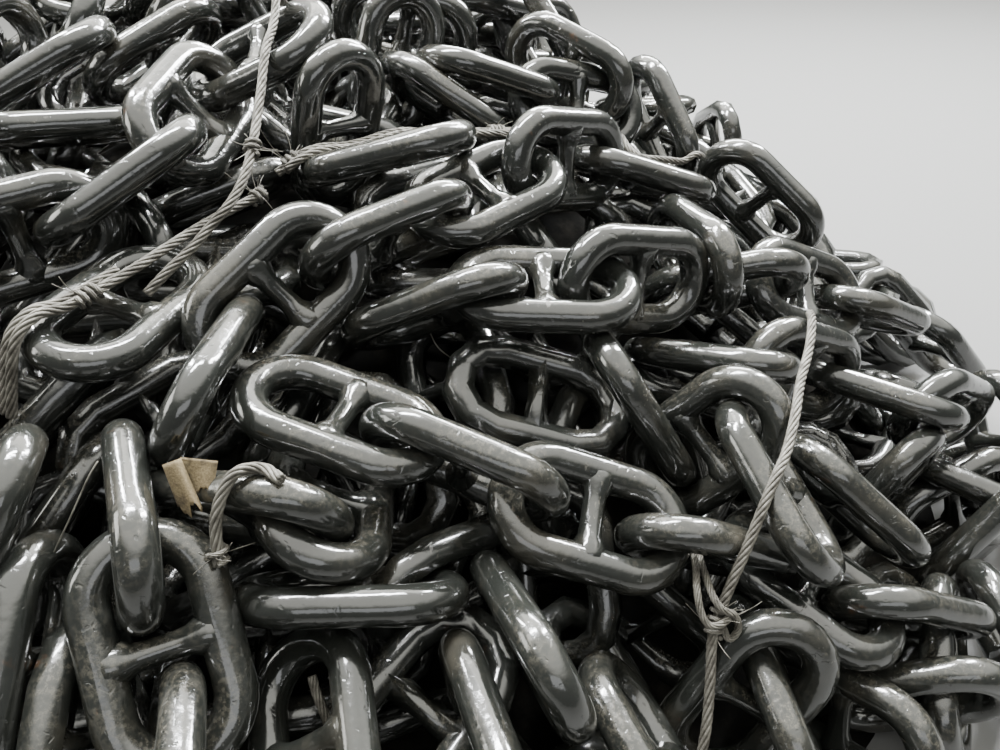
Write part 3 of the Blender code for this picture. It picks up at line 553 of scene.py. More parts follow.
def work(tree, operation, first, second):
    """first and second, each a socket or a number, put through one operation."""
    node = add(tree, "ShaderNodeMath", operation=operation)
    for number, value in enumerate((first, second)):
        if isinstance(value, (int, float)):
            node.inputs[number].default_value = value
        else:
            tree.links.new(value, node.inputs[number])
    return node.outputs["Value"]


def object_place(tree):
    """The place on the object itself, so that a pattern stays with its piece."""
    return add(tree, "ShaderNodeTexCoord").outputs["Object"]


def blend(tree, share, first, second):
    """A colour that goes from first to second with share; each is a socket or four numbers."""
    node = add(tree, "ShaderNodeMix", data_type="RGBA")
    tree.links.new(share, node.inputs["Factor"])
    for label, value in (("A", first), ("B", second)):
        socket = [found for found in node.inputs if found.name == label and found.type == "RGBA"][0]
        if isinstance(value, tuple):
            socket.default_value = value
        else:
            tree.links.new(value, socket)
    return [found for found in node.outputs if found.type == "RGBA"][0]


def bump(tree, height, strength, distance):
    """The normal that a surface with this height would have."""
    node = add(tree, "ShaderNodeBump")
    node.inputs["Strength"].default_value = strength
    node.inputs["Distance"].default_value = distance
    tree.links.new(height, node.inputs["Height"])
    return node.outputs["Normal"]


print("steps", [step.__name__ for step in (add, noise, between, work, blend, bump)])

# %% [markdown]
# ## Floor and light
# The heap lies on a plain pale floor. Black gloss paint shows nothing but what it mirrors, so the
# lights are the picture. A bright ceiling with a crisp edge gives the upper half of every bar its
# grey sheen, and four narrow panels behind the heap draw the white streaks along it.

# %% The floor
FLOOR_SIZE = 14.0
FLOOR_RGBA = (0.145, 0.145, 0.142, 1.0)
FLOOR_ROUGHNESS = 0.8
half = FLOOR_SIZE / 2
floor_mesh = bpy.data.meshes.new("floor")
floor_corners = [(-half, -half, 0), (half, -half, 0), (half, half, 0), (-half, half, 0)]
floor_mesh.from_pydata(floor_corners, [], [(0, 1, 2, 3)])
floor = new_object("floor", floor_mesh)
pale_floor, _, floor_shader = new_material("pale_floor")
floor_shader.inputs["Base Color"].default_value = FLOOR_RGBA
floor_shader.inputs["Roughness"].default_value = FLOOR_ROUGHNESS
floor_mesh.materials.append(pale_floor)
print("floor", FLOOR_SIZE, "m wide")

# %% The light panels
HEAP_MIDDLE = np.array([0.0, 0.0, 0.4])
WARM = (1.0, 0.99, 0.92)
DAYLIGHT = (0.96, 0.98, 1.0)
PANELS = {
    "high_back": ((0.3, 2.6, 3.4), (4.0, 1.6), 110, WARM),
    "streak_right": ((2.6, 2.4, 2.9), (0.34, 1.9), 520, DAYLIGHT),
    "streak_top": ((-0.4, 0.9, 3.6), (1.9, 0.28), 430, DAYLIGHT),
    "streak_back": ((0.9, 3.2, 2.5), (2.2, 0.16), 300, DAYLIGHT),
    "streak_left": ((-2.2, 1.8, 3.0), (0.20, 1.3), 210, DAYLIGHT),
    "left_fill": ((-3.2, -0.4, 2.0), (1.6, 1.2), 55, WARM),
    "front_fill": ((0.6, -3.6, 2.4), (3.0, 1.2), 26, DAYLIGHT),
}


def panel(name, place, size, power, colour):
    """A soft panel of light at place, turned to face the heap's middle."""
    data = bpy.data.lights.new(name, "AREA")
    data.shape = "RECTANGLE"
    data.size, data.size_y = size
    data.energy = power
    data.color = colour
    back = unit(np.array(place) - HEAP_MIDDLE)
    side = unit(np.cross([0.0, 0.0, 1.0], back))
    set_down(new_object(name, data), side, np.cross(back, side), back, place)


for name, row in PANELS.items():
    panel(name, *row)

# %% The studio hall
SKY_WAY = (0.10, 0.30, 0.95)
SKY_EDGE = (0.38, 0.74)
SKY_DIM = (0.24, 0.25, 0.24, 1.0)
SKY_BRIGHT = (3.2, 3.2, 2.95, 1.0)


def build_world():
    """A studio hall: dim all round, and a wide bright ceiling about SKY_WAY with a soft edge."""
    world = bpy.data.worlds.new("studio")
    world.use_nodes = True
    tree = world.node_tree
    along = add(tree, "ShaderNodeVectorMath", operation="DOT_PRODUCT")
    tree.links.new(add(tree, "ShaderNodeTexCoord").outputs["Generated"], along.inputs[0])
    along.inputs[1].default_value = SKY_WAY
    ceiling = between(tree, along.outputs["Value"], *SKY_EDGE)
    colour = blend(tree, ceiling, SKY_DIM, SKY_BRIGHT)
    tree.links.new(colour, tree.nodes["Background"].inputs["Color"])
    return world


bpy.context.scene.world = build_world()
print("ceiling about", SKY_WAY, "with its edge between", SKY_EDGE)

# %% [markdown]
# ## Finishes
# Bitumen is brushed or dipped on thick. It sags into soft waves, hides the forging's scale, and
# where it has been dragged over other links it turns dull and picks up pale dust. Three of its
# effects serve more than one finish, so each is a node group: a wavy coat, dust on what faces
# upwards, and scuffs.

# %% A wavy coat
def new_group(name, inputs, outputs):
    """An empty node group with float inputs, and outputs of the given kinds."""
    group = bpy.data.node_groups.new(name, "ShaderNodeTree")
    for label, value in inputs:
        socket = group.interface.new_socket(label, in_out="INPUT", socket_type="NodeSocketFloat")
        socket.default_value = value
    for label, kind in outputs:
        group.interface.new_socket(label, in_out="OUTPUT", socket_type=kind)
    return group, group.nodes.new("NodeGroupInput"), group.nodes.new("NodeGroupOutput")


def build_wavy_coat():
    """Height of the coat: broad sags, finer orange peel, and a few small pits."""
    group, inside, out = new_group(
        "wavy_coat", [("Sag", 1.0), ("Peel", 0.3), ("Pits", 0.4)], [("Height", "NodeSocketFloat")])
    place = object_place(group)
    sag = work(group, "MULTIPLY", noise(group, place, 34.0, 2.0), inside.outputs["Sag"])
    peel = work(group, "MULTIPLY", noise(group, place, 210.0, 2.0), inside.outputs["Peel"])
    pit = between(group, noise(group, place, 95.0, 1.0, distortion=0.6), 0.66, 0.76)
    pits = work(group, "MULTIPLY", pit, inside.outputs["Pits"])
    height = work(group, "SUBTRACT", work(group, "ADD", sag, peel), pits)
    group.links.new(height, out.inputs["Height"])
    return group


WAVY_COAT = build_wavy_coat()
print(WAVY_COAT.name, "nodes", len(WAVY_COAT.nodes))

# %% Settled dust
def build_dust():
    """How much dust lies here: more on what faces up, in patches broken by fine grain."""
    group, inside, out = new_group("settled_dust", [("Amount", 0.5)], [("Mask", "NodeSocketFloat")])
    place = object_place(group)
    normal = add(group, "ShaderNodeNewGeometry").outputs["Normal"]
    split = add(group, "ShaderNodeSeparateXYZ")
    group.links.new(normal, split.inputs["Vector"])
    upward = between(group, split.outputs["Z"], 0.1, 0.95)
    patch = between(group, noise(group, place, 7.0, 3.0), 0.42, 0.68)
    grain = between(group, noise(group, place, 160.0, 4.0, 0.7), 0.40, 0.70)
    mask = work(group, "MULTIPLY", work(group, "MULTIPLY", upward, patch), grain)
    group.links.new(work(group, "MULTIPLY", mask, inside.outputs["Amount"]), out.inputs["Mask"])
    return group


DUST = build_dust()
print(DUST.name, "nodes", len(DUST.nodes))

# %% Scuffs
def build_scuffs():
    """Where the coat was dragged over: short streaks, in few places."""
    group, inside, out = new_group("scuffs", [("Amount", 0.5)], [("Mask", "NodeSocketFloat")])
    place = object_place(group)
    stretch = add(group, "ShaderNodeMapping")
    stretch.inputs["Rotation"].default_value = (0.5, 0.3, 0.7)
    stretch.inputs["Scale"].default_value = (1.0, 0.16, 1.0)
    group.links.new(place, stretch.inputs["Vector"])
    streak = between(group, noise(group, stretch.outputs["Vector"], 150.0, 3.0, 0.65), 0.57, 0.72)
    where = between(group, noise(group, place, 9.0, 2.0, distortion=0.4), 0.55, 0.68)
    mask = work(group, "MULTIPLY", streak, where)
    group.links.new(work(group, "MULTIPLY", mask, inside.outputs["Amount"]), out.inputs["Mask"])
    return group


SCUFFS = build_scuffs()
print(SCUFFS.name, "nodes", len(SCUFFS.nodes))

# %% The bitumen paint
def use_group(tree, group, **values):
    """A group placed in a tree, with its own values."""
    node = add(tree, "ShaderNodeGroup", node_tree=group)
    for label, value in values.items():
        node.inputs[label].default_value = value
    return node


PAINT = (0.0125, 0.0135, 0.0118, 1.0)
WORN_PAINT = (0.058, 0.053, 0.042, 1.0)
DUST_RGBA = (0.150, 0.135, 0.105, 1.0)
RUST_RGBA = (0.085, 0.040, 0.018, 1.0)


def bitumen(name, dust, scuffs, sag, gloss):
    """Thick black paint: near black, glossy, brown-grey where dusty, dull where dragged."""
    made, tree, shader = new_material(name)
    place = object_place(tree)
    dusty = use_group(tree, DUST, Amount=dust).outputs["Mask"]
    scuffed = use_group(tree, SCUFFS, Amount=scuffs).outputs["Mask"]
    worn = between(tree, noise(tree, place, 12.0, 4.0, 0.6), 0.50, 0.78)
    colour = blend(tree, work(tree, "MULTIPLY", worn, 0.6), PAINT, WORN_PAINT)
    rusty = between(tree, noise(tree, place, 23.0, 5.0, 0.65, 0.3), 0.66, 0.76)
    colour = blend(tree, work(tree, "MULTIPLY", rusty, 0.45), colour, RUST_RGBA)
    colour = blend(tree, dusty, colour, DUST_RGBA)
    colour = blend(tree, scuffed, colour, WORN_PAINT)
    tree.links.new(colour, shader.inputs["Base Color"])
    rough = work(tree, "ADD", work(tree, "MULTIPLY", noise(tree, place, 19.0, 3.0), 0.16), gloss)
    rough = work(tree, "ADD", rough, work(tree, "MULTIPLY", dusty, 0.35))
    rough = work(tree, "ADD", rough, work(tree, "MULTIPLY", scuffed, 0.30))
    tree.links.new(rough, shader.inputs["Roughness"])
    coat = use_group(tree, WAVY_COAT, Sag=sag, Peel=0.16, Pits=0.40)
    tree.links.new(bump(tree, coat.outputs["Height"], 0.55, 0.0022), shader.inputs["Normal"])
    shader.inputs["IOR"].default_value = 1.62
    shader.inputs["Coat Weight"].default_value = 0.55
    shader.inputs["Coat Roughness"].default_value = 0.05
    return made


FRESH = bitumen("bitumen_paint", 0.40, 0.8, 1.0, 0.07)
BURIED = bitumen("buried_bitumen", 0.50, 0.6, 0.9, 0.12)
print("finishes", [made.name for made in (FRESH, BURIED)])

# %% [markdown]
# ## The wire's finish
# The lashing is old galvanized rope: dull grey-brown, darker in the grooves where grease and dirt
# sit. Its finest wires are thinner than any mesh should carry, so they are bump.

# %% The wire's finish
WIRE = (0.155, 0.146, 0.124, 1.0)
WIRE_DIRT = (0.046, 0.041, 0.033, 1.0)


def wire_finish(name):
    """Dull metal under patches of dirt, with fine wires as bump."""
    made, tree, shader = new_material(name)
    place = object_place(tree)
    dirt = between(tree, noise(tree, place, 55.0, 5.0, 0.7), 0.38, 0.66)
    fine = noise(tree, place, 900.0, 3.0, 0.7)
    colour = blend(tree, dirt, WIRE, WIRE_DIRT)
    colour = blend(tree, work(tree, "MULTIPLY", between(tree, fine, 0.45, 0.7), 0.5), colour, WIRE)
    tree.links.new(colour, shader.inputs["Base Color"])
    tree.links.new(work(tree, "ADD", work(tree, "MULTIPLY", dirt, 0.3), 0.42), shader.inputs["Roughness"])
    tree.links.new(bump(tree, fine, 0.6, 0.0008), shader.inputs["Normal"])
    shader.inputs["Metallic"].default_value = 0.25
    return made


WIRE_FINISH = wire_finish("wire_rope")
for piece in wire_pieces:
    piece.data.materials.append(WIRE_FINISH)
print("pieces with the wire's finish", len(wire_pieces))

# %% [markdown]
# ## One link
# A stud link is a bar bent into an oval and closed, with a stud pressed across its eye. The bar's
# middle line is two half circles joined by two straights. The stud has a slim waist, and both its
# feet spread where they meet the bar.

# %% One link as a surface
BAR = 0.042
LINK_LENGTH = 0.252
LINK_WIDTH = 0.151
STUD_WAIST = 0.026
STUD_FOOT = 0.036
STUD_FLARE = 0.010
FLARE_REACH = 0.004
FLARE_END = 0.93
SWELL_POWER = 2.5
REACH = (LINK_LENGTH - LINK_WIDTH) / 2
CROWN = (LINK_WIDTH - BAR) / 2


def oval(crown_steps, straight_steps):
    """The bar's middle line: half circles about (+-REACH, 0), and the straights between them."""
    angle = np.linspace(-math.pi / 2, math.pi / 2, crown_steps + 1)
    crown = np.stack([REACH + CROWN * np.cos(angle), CROWN * np.sin(angle)], axis=1)
    along = np.linspace(REACH, -REACH, straight_steps + 1)[1:-1]
    straight = np.stack([along, CROWN + 0 * along], axis=1)
    half_way = np.concatenate([crown, straight])
    flat = np.concatenate([half_way, -half_way])
    return np.concatenate([flat, 0 * flat[:, :1]], axis=1)


def stud_profile(rows):
    """Stations along the stud and its radius there: a waist that swells to the feet by a power
    of the distance, with a quick flare, an exponential, against the bar's flank."""
    place = np.sin(np.linspace(-math.pi / 2, math.pi / 2, rows)) * CROWN
    share = np.abs(place) / CROWN
    from_bar = np.maximum(CROWN - BAR / 2 - np.abs(place), 0)
    swell = STUD_WAIST + (STUD_FOOT - STUD_WAIST) * share ** SWELL_POWER
    flare = STUD_FLARE * np.exp(-from_bar / FLARE_REACH) * (share < FLARE_END)
    return place, (swell + flare) / 2


def link_surface(sides, crown_steps, straight_steps, stud_sides, stud_rows):
    """The ring as a closed tube, and the stud as a turned bar between its two rails."""
    ring = tube(oval(crown_steps, straight_steps), BAR / 2, sides, (0, 0, 1), closed=True)
    place, radius = stud_profile(stud_rows)
    line = np.stack([0 * place, place, 0 * place], axis=1)
    return joined([ring, tube(line, radius, stud_sides, (0, 0, 1))])


FINE_LINK = link_surface(24, 20, 6, 16, 15)
MIDDLE_LINK = link_surface(14, 12, 2, 10, 9)
PLAIN_LINK = link_surface(8, 5, 1, 4, 3)
PLAINEST_LINK = link_surface(6, 5, 1, 4, 3)


def laid(link, middles, turns):
    """Copies of one link, each turned and moved to its place, joined into one surface."""
    points, faces = link
    world = middles[:, None] + np.einsum("nij,kj->nki", turns, points)
    starts = np.arange(len(middles)) * len(points)
    copies = [(starts[:, None, None] + part).reshape(-1, part.shape[1]) for part in faces]
    return world.reshape(-1, 3), copies


ALL_LINKS = {"fine": FINE_LINK, "middle": MIDDLE_LINK, "plain": PLAIN_LINK, "plainest": PLAINEST_LINK}
for name, link in ALL_LINKS.items():
    print(name, "link faces", sum(len(part) for part in link[1]))

# %% [markdown]
# ## The links of the top layer
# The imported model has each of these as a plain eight-sided link. Where one lies can be read from
# its surface alone: the middle of its area is the link's middle, and the three directions in
# which that area spreads most, less and least are its length, its width and its thickness.

# %% Where each packed link lies
def lie_of(name):
    """Middle and turn of a packed link, from the first and second moments of its area."""
    points, triangles = node_triangles(name)
    corner = points[triangles]
    area = np.linalg.norm(np.cross(corner[:, 1] - corner[:, 0], corner[:, 2] - corner[:, 0]), axis=1) / 2
    middle = (area[:, None] * corner.mean(axis=1)).sum(axis=0) / area.sum()
    corner = corner - middle
    total = corner.sum(axis=1)
    spread = np.einsum("n,nki,nkj->ij", area, corner, corner) + np.einsum("n,ni,nj->ij", area, total, total)
    _, axes = np.linalg.eigh(spread)
    along, across = axes[:, 2], axes[:, 1]
    return middle, np.stack([along, across, np.cross(along, across)], axis=1)


lies = [lie_of(name) for name in LINK_NODES]
OUTER_MIDDLES = np.array([middle for middle, _ in lies])
OUTER_TURNS = np.array([turn for _, turn in lies])
for name, middle, turn in zip(LINK_NODES, OUTER_MIDDLES, OUTER_TURNS):
    points, faces = laid(FINE_LINK, middle[None], turn[None])
    piece = make_piece(name + "_forged", points, faces, stands_for=[name], slot="bitumen_paint")
    piece.data.materials.append(FRESH)
print("top layer links", len(lies))

# %% [markdown]
# ## The heap's skin
# Behind and beside the links that show there are many more. They all lie near one smooth mound,
# so that mound is written down once: a height for each spot on the floor. A loose link is then
# placed by its spot, its depth under the skin and the way it points.

# %% The mound
PEAK = np.array([-0.60, 1.62]) + EYE[:2]
LEFT_REACH = 0.72
RIGHT_REACH = 1.60
FRONT_REACH = 1.58
BACK_REACH = 0.60
HEAP_HEIGHT = 0.80
SLOPE_POWER = 0.85
SLOPE_STEP = 0.02


def reach_shares(x, y):
    """How far a spot lies from the peak along X and Y, as shares of the mound's reach there."""
    across = (x - PEAK[0]) / np.where(x < PEAK[0], LEFT_REACH, RIGHT_REACH)
    along = (y - PEAK[1]) / np.where(y < PEAK[1], FRONT_REACH, BACK_REACH)
    return across, along


def skin_height(x, y):
    """HEAP_HEIGHT (1 - across^2 - along^2)^SLOPE_POWER, and 0 beyond the mound's foot."""
    across, along = reach_shares(x, y)
    return HEAP_HEIGHT * np.clip(1.0 - across ** 2 - along ** 2, 0.0, 1.0) ** SLOPE_POWER


def skin_out(spot):
    """The skin's outward direction at a spot: up, less its slope along X and along Y."""
    step = SLOPE_STEP / 2
    slope_x = (skin_height(spot[0] + step, spot[1]) - skin_height(spot[0] - step, spot[1])) / SLOPE_STEP
    slope_y = (skin_height(spot[0], spot[1] + step) - skin_height(spot[0], spot[1] - step)) / SLOPE_STEP
    return unit(np.array([-slope_x, -slope_y, 1.0]))


def mound_spot(share, angle):
    """The spot at a share of the mound's reach, in the direction angle from its peak."""
    across, along = math.cos(angle), math.sin(angle)
    x = PEAK[0] + share * across * (RIGHT_REACH if across > 0 else LEFT_REACH)
    y = PEAK[1] + share * along * (BACK_REACH if along > 0 else FRONT_REACH)
    return x, y


def on_skin(x, y, depth):
    """The spot that lies depth under the skin, square to it, at x and y."""
    foot = np.array([x, y, float(skin_height(x, y))])
    return foot - depth * skin_out(foot)


print("mound peak", PEAK, "height at the eye's foot", float(skin_height(*EYE[:2])))

# %% [markdown]
# ## Loose links, seen in the picture
# Some links show only in part, between or behind those of the top layer: an arch here, a lower
# rail there. They are placed as they are seen, by the line of sight through their middle, a
# heading in the picture, a tilt towards the eye and a facing, and the heap's skin says how deep.

# %% Links placed by sight
SIGHT_DEPTHS = np.linspace(0.3, 2.6, 3000)


def spot_in_sight(across, down, lift):
    """Where the sight line first comes lower than lift over the skin, or passes it nearest."""
    spots = EYE + SIGHT_DEPTHS[:, None] * sight_line(across, down)
    over = spots[:, 2] - skin_height(spots[:, 0], spots[:, 1]) - lift
    return spots[np.argmax(over < 0) if (over < 0).any() else np.argmin(over)]


def sighted_turn(across, down, heading, tilt, facing):
    """The link's own axes: its length at heading in the picture, tipped by tilt towards the
    eye, and its width turned by facing about its length; 0 is broadside, 90 edge-on."""
    heading, tilt, facing = (math.radians(angle) for angle in (heading, tilt, facing))
    sight = unit(sight_line(across, down))
    pointing = math.cos(heading) * RIGHT + math.sin(heading) * UP
    in_view = unit(pointing - (pointing @ sight) * sight)
    along = math.cos(tilt) * in_view - math.sin(tilt) * sight
    level = np.cross(in_view, sight)
    width = math.cos(facing) * level + math.sin(facing) * np.cross(along, level)
    return np.stack([along, width, np.cross(along, width)], axis=1)


SIGHTED = {
    "arch_behind_peak": (340, 128, -0.03, 84, 20, 75),
    "behind_lashing": (450, 115, -0.03, -50, 10, 45),
    "ridge_middle": (415, 68, -0.04, 84, 10, 30),
    "ridge_arc": (150, 48, -0.03, 12, -10, 55),
    "left_edge": (30, 335, -0.03, 33, 10, 80),
    "ridge_bar": (578, 86, 0.00, -22, 0, 50),
    "ridge_rail": (540, 32, 0.02, -62, 10, 80),
    "ridge_last_rail": (660, 116, 0.01, -60, 15, 60),
    "ridge_last_bar": (704, 124, 0.01, 2, 0, 80),
    "ridge_lower_rail": (712, 172, 0.00, -28, 0, 70),
    "open_ring": (902, 352, 0.00, -36, 0, 20),
    "crown_right": (918, 508, -0.02, 70, -20, 20),
    "bar_right": (950, 500, -0.01, 5, 0, 70),
    "rail_right": (980, 468, -0.01, -50, 0, 80),
    "bottom_rail": (912, 732, -0.03, 2, -10, 40),
    "bottom_right": (985, 690, -0.01, -62, 10, 80),
    "upright_bar": (772, 684, -0.03, -72, 10, 80),
    "low_arc": (832, 706, -0.03, -30, 10, 30),
    "dark_ring": (645, 606, -0.05, 15, 0, 15),
    "left_rail": (105, 500, -0.05, 45, 10, 80),
    "left_lower_rail": (72, 600, -0.04, 36, 10, 80),
    "left_thin_bar": (66, 700, -0.03, 82, 10, 85),
    "crown_below": (416, 702, -0.05, 60, -10, 25),
    "crown_between": (540, 465, -0.06, 75, -40, 20),
    "crown_low": (560, 735, -0.05, 50, 20, 25),
    "far_left_top": (18, 18, -0.02, 25, 0, 70),
    "far_top": (290, 18, -0.03, -55, 0, 40),
    "left_middle": (20, 420, -0.05, 75, 10, 40),
    "left_low": (10, 660, -0.03, 80, 10, 70),
    "right_of_knot": (735, 690, -0.05, 60, 10, 40),
    "under_card": (205, 440, -0.07, 20, 0, 60),
    "dark_middle": (410, 520, -0.08, 60, 10, 50),
    "under_right_run": (745, 425, -0.07, -40, 0, 50),
    "ridge_far": (610, 62, 0.00, -40, 0, 40),
}
seen_middles = np.array([spot_in_sight(*row[:3]) for row in SIGHTED.values()])
seen_turns = np.array([sighted_turn(row[0], row[1], *row[3:]) for row in SIGHTED.values()])
print("links placed by sight", len(SIGHTED))

# %% [markdown]
# ## Loose links, in runs
# The rest lie where nothing shows how. Chain doesn't fall as single links, so they come in runs:
# each link hooks into the one before, turned a quarter turn about the run, and bears off a little
# to find room. One layer lies deep, under all the others, and one on the skin, where the links of
# the top layer leave it free.

# %% One run of loose links
RUN_PITCH = 0.158
RUN_LONGEST = 8
FOOT_SHARE = 0.99
BEARINGS = np.radians([0, 22, -22, 45, -45, 66, -66])
BEND_COST = 0.02
WANDER = 0.12
QUARTER_ROLL = math.radians(45)
rng = np.random.default_rng(12)


def run_turn(along, out, roll):
    """Length along the run, width turned by roll from the skin about that length."""
    along = unit(along)
    flat = unit(np.cross(out, along))
    width = math.cos(roll) * flat + math.sin(roll) * np.cross(along, flat)
    return np.stack([along, width, np.cross(along, width)], axis=1)


def inside_foot(x, y):
    """Whether a spot lies within the mound's foot."""
    return float(np.hypot(*reach_shares(x, y))) < FOOT_SHARE


def grow_run(start, heading, depth, taken, least_room):
    """Follows one run over the skin, each time on the bearing that leaves it the most room."""
    run, end = [], start
    for _ in range(RUN_LONGEST):
        best = None
        for bearing in BEARINGS + rng.normal(0, WANDER):
            way = heading + bearing
            ahead = end[:2] + RUN_PITCH * np.array([math.cos(way), math.sin(way)])
            spot = on_skin(*ahead, depth)
            spot = end + (spot - end) * RUN_PITCH / np.linalg.norm(spot - end)
            middle = (end + spot) / 2
            others = np.array(taken + [place[0] for place in run[:-1]])
            room = np.linalg.norm(others - middle, axis=1).min() if len(others) else 1.0
            if inside_foot(*spot[:2]) and (best is None or room > best[0] + BEND_COST * abs(bearing)):
                best = (room, bearing, spot, middle)
        if best is None or best[0] < least_room:
            break
        room, bearing, spot, middle = best
        side = 1 if len(run) % 2 else -1
        roll = side * QUARTER_ROLL + rng.normal(0, WANDER)
        run.append((middle, run_turn(spot - end, skin_out(middle), roll)))
        heading, end = heading + bearing, spot
    return run


print("a run has at most", RUN_LONGEST, "links of", RUN_PITCH, "m")

# %% Two layers of runs
SKIN_ROOM = 0.122
DEEP_ROOM = 0.150
DEEP = 0.115
RUN_STARTS = 2200
GOLDEN_SHARE = 3 - math.sqrt(5)


def fill_layer(depth, taken, least_room):
    """Starts runs all over the skin, evenly by the golden angle, until no room is left."""
    middles, turns, hooked = [], [], []
    taken = list(taken)
    for step in rng.permutation(RUN_STARTS):
        share = FOOT_SHARE * math.sqrt((step + 0.5) / RUN_STARTS)
        x, y = mound_spot(share, step * math.pi * GOLDEN_SHARE)
        run = grow_run(on_skin(x, y, depth), rng.uniform(0, math.tau), depth, taken, least_room)
        hooked += [(len(middles) + k, len(middles) + k + 1) for k in range(len(run) - 1)]
        middles += [place[0] for place in run]
        turns += [place[1] for place in run]
        taken += [place[0] for place in run]
    return np.array(middles), np.array(turns), np.array(hooked, int).reshape(-1, 2)


skin_middles, skin_turns, skin_hooked = fill_layer(0.0, list(OUTER_MIDDLES) + list(seen_middles), SKIN_ROOM)
deep_middles, deep_turns, deep_hooked = fill_layer(DEEP, [], DEEP_ROOM)
print("loose links on the skin", len(skin_middles), "and deep", len(deep_middles))

# %% [markdown]
# ## Easing them apart
# Placed like this, many links cut through each other. They are eased apart a little at a time:
# each pair that overlaps is pushed away from its deepest point of overlap, which also turns both,
# and hooked crowns are drawn together. The top layer stands still, and the loose links give way.

# %% The gap between two links
EASE_NEAR = 0.27
LEAST = 1e-9
RING_SPOTS = oval(7, 5)
STUD_SPOTS = np.array([[0.0, place, 0.0] for place in (-0.022, 0.0, 0.022)])
SPOTS = np.concatenate([RING_SPOTS, STUD_SPOTS])
SPOT_RADIUS = np.array([BAR / 2] * len(RING_SPOTS) + [STUD_WAIST / 2] * len(STUD_SPOTS))


def spots_of(middles, turns):
    """Round spots along every link's bar and stud, in the heap's own frame."""
    return middles[:, None] + np.einsum("nij,kj->nki", turns, SPOTS)


def deepest(middles, turns, first, second):
    """For pairs of links: the least gap between their round spots, and where it is."""
    spots = spots_of(middles, turns)
    one, two = spots[first], spots[second]
    apart = (one ** 2).sum(-1)[:, :, None] + (two ** 2).sum(-1)[:, None] - 2 * one @ two.transpose(0, 2, 1)
    gaps = np.sqrt(np.maximum(apart, 1e-12)) - SPOT_RADIUS[:, None] - SPOT_RADIUS[None]
    gaps = gaps.reshape(len(first), -1)
    best = gaps.argmin(axis=1)
    rows = np.arange(len(first))
    return gaps[rows, best], one[rows, best // len(SPOTS)], two[rows, best % len(SPOTS)]


def near_pairs(middles, loose):
    """Numbers of each two links whose middles are near, unless both stand still."""
    apart = np.linalg.norm(middles[:, None] - middles[None], axis=-1)
    first, second = np.nonzero(np.triu(apart < EASE_NEAR, 1))
    moving = (loose[first] + loose[second]) > 0
    return first[moving], second[moving]


def units(ways):
    """Many directions at length one, and how long they were."""
    size = np.linalg.norm(ways, axis=-1)
    return ways / np.maximum(size, LEAST)[:, None], size


print("round spots on a link", len(SPOTS))

# %% [markdown]
# A push off a link's middle also turns it, and the less its moment of inertia about an axis is,
# the more it turns about that axis. A link turns easily about its length, and least about the line
# through its eye, which is how a real one gives way.

# %% Turning and pushing
INERTIA = np.array([0.035, 0.093, 0.121]) * LINK_LENGTH ** 2
SPIN_EASE = 1 / INERTIA


def turned(turns, spins):
    """Each turn, turned on by its small rotation vector, by the formula of axis and angle."""
    angle = np.linalg.norm(spins, axis=1)
    axis = spins / np.maximum(angle, 1e-12)[:, None]
    cross = np.zeros((len(spins), 3, 3))
    cross[:, 0, 1], cross[:, 0, 2], cross[:, 1, 2] = -axis[:, 2], axis[:, 1], -axis[:, 0]
    cross = cross - cross.transpose(0, 2, 1)
    sine, rest = np.sin(angle)[:, None, None], 1 - np.cos(angle)[:, None, None]
    return turns + sine * (cross @ turns) + rest * (cross @ cross @ turns)


def push(state, first, second, on_first, on_second, way, amount):
    """Moves pairs apart along way by amount, as free bodies would go; fixed ones stay."""
    middles, turns, loose, shift, spin, pushes = state
    gives, local_turns = [], []
    for which, spot in ((first, on_first), (second, on_second)):
        local = np.einsum("nji,nj->ni", turns[which], np.cross(spot - middles[which], way))
        local_turns.append(np.einsum("nij,nj->ni", turns[which], local * SPIN_EASE))
        gives.append((1 + (local ** 2 * SPIN_EASE).sum(-1)) * loose[which])
    size = (amount / np.maximum(gives[0] + gives[1], LEAST))[:, None]
    for which, turn_by, sign in ((first, local_turns[0], -1), (second, local_turns[1], 1)):
        np.add.at(shift, which, sign * size * way * loose[which][:, None])
        np.add.at(spin, which, sign * size * turn_by * loose[which][:, None])
        np.add.at(pushes, which, 1)


print("a link's inertia about its three axes, per kilogram", INERTIA.round(5))

# %% Ropes, floor and box
MOST_STEP = 0.010
FLOOR_GAP = 0.002
OVERHANG = 0.02
ROPE_ROOM = 0.0015
ROPE_NEAR = 0.17
ROPE_SPOTS = np.concatenate([line[::3] for line in (*rope_lines.values(), top_second, left_second)])


def push_off_ropes(state):
    """Moves each loose link off the rope spot that it cuts deepest into; the ropes stay."""
    middles, turns, loose, shift, spin, pushes = state
    close = np.linalg.norm(middles[:, None] - ROPE_SPOTS[None], axis=-1).min(axis=1) < ROPE_NEAR
    which = np.nonzero(close & (loose > 0))[0]
    spots = spots_of(middles[which], turns[which])
    apart = np.linalg.norm(spots[:, :, None] - ROPE_SPOTS[None, None], axis=-1)
    gaps = (apart - SPOT_RADIUS[None, :, None] - ROPE / 2 - ROPE_ROOM).reshape(len(which), -1)
    best = gaps.argmin(axis=1)
    rows = np.arange(len(which))
    on_link, on_rope = spots[rows, best // len(ROPE_SPOTS)], ROPE_SPOTS[best % len(ROPE_SPOTS)]
    tight = gaps[rows, best] < 0
    which, on_link, way = which[tight], on_link[tight], units(on_link - on_rope)[0][tight]
    local = np.einsum("nji,nj->ni", turns[which], np.cross(on_link - middles[which], way))
    give = 1 + (local ** 2 * SPIN_EASE).sum(-1)
    size = (np.minimum(-gaps[rows, best][tight], MOST_STEP) / give)[:, None]
    shift[which] += size * way
    spin[which] += size * np.einsum("nij,nj->ni", turns[which], local * SPIN_EASE)
    pushes[which] += 1


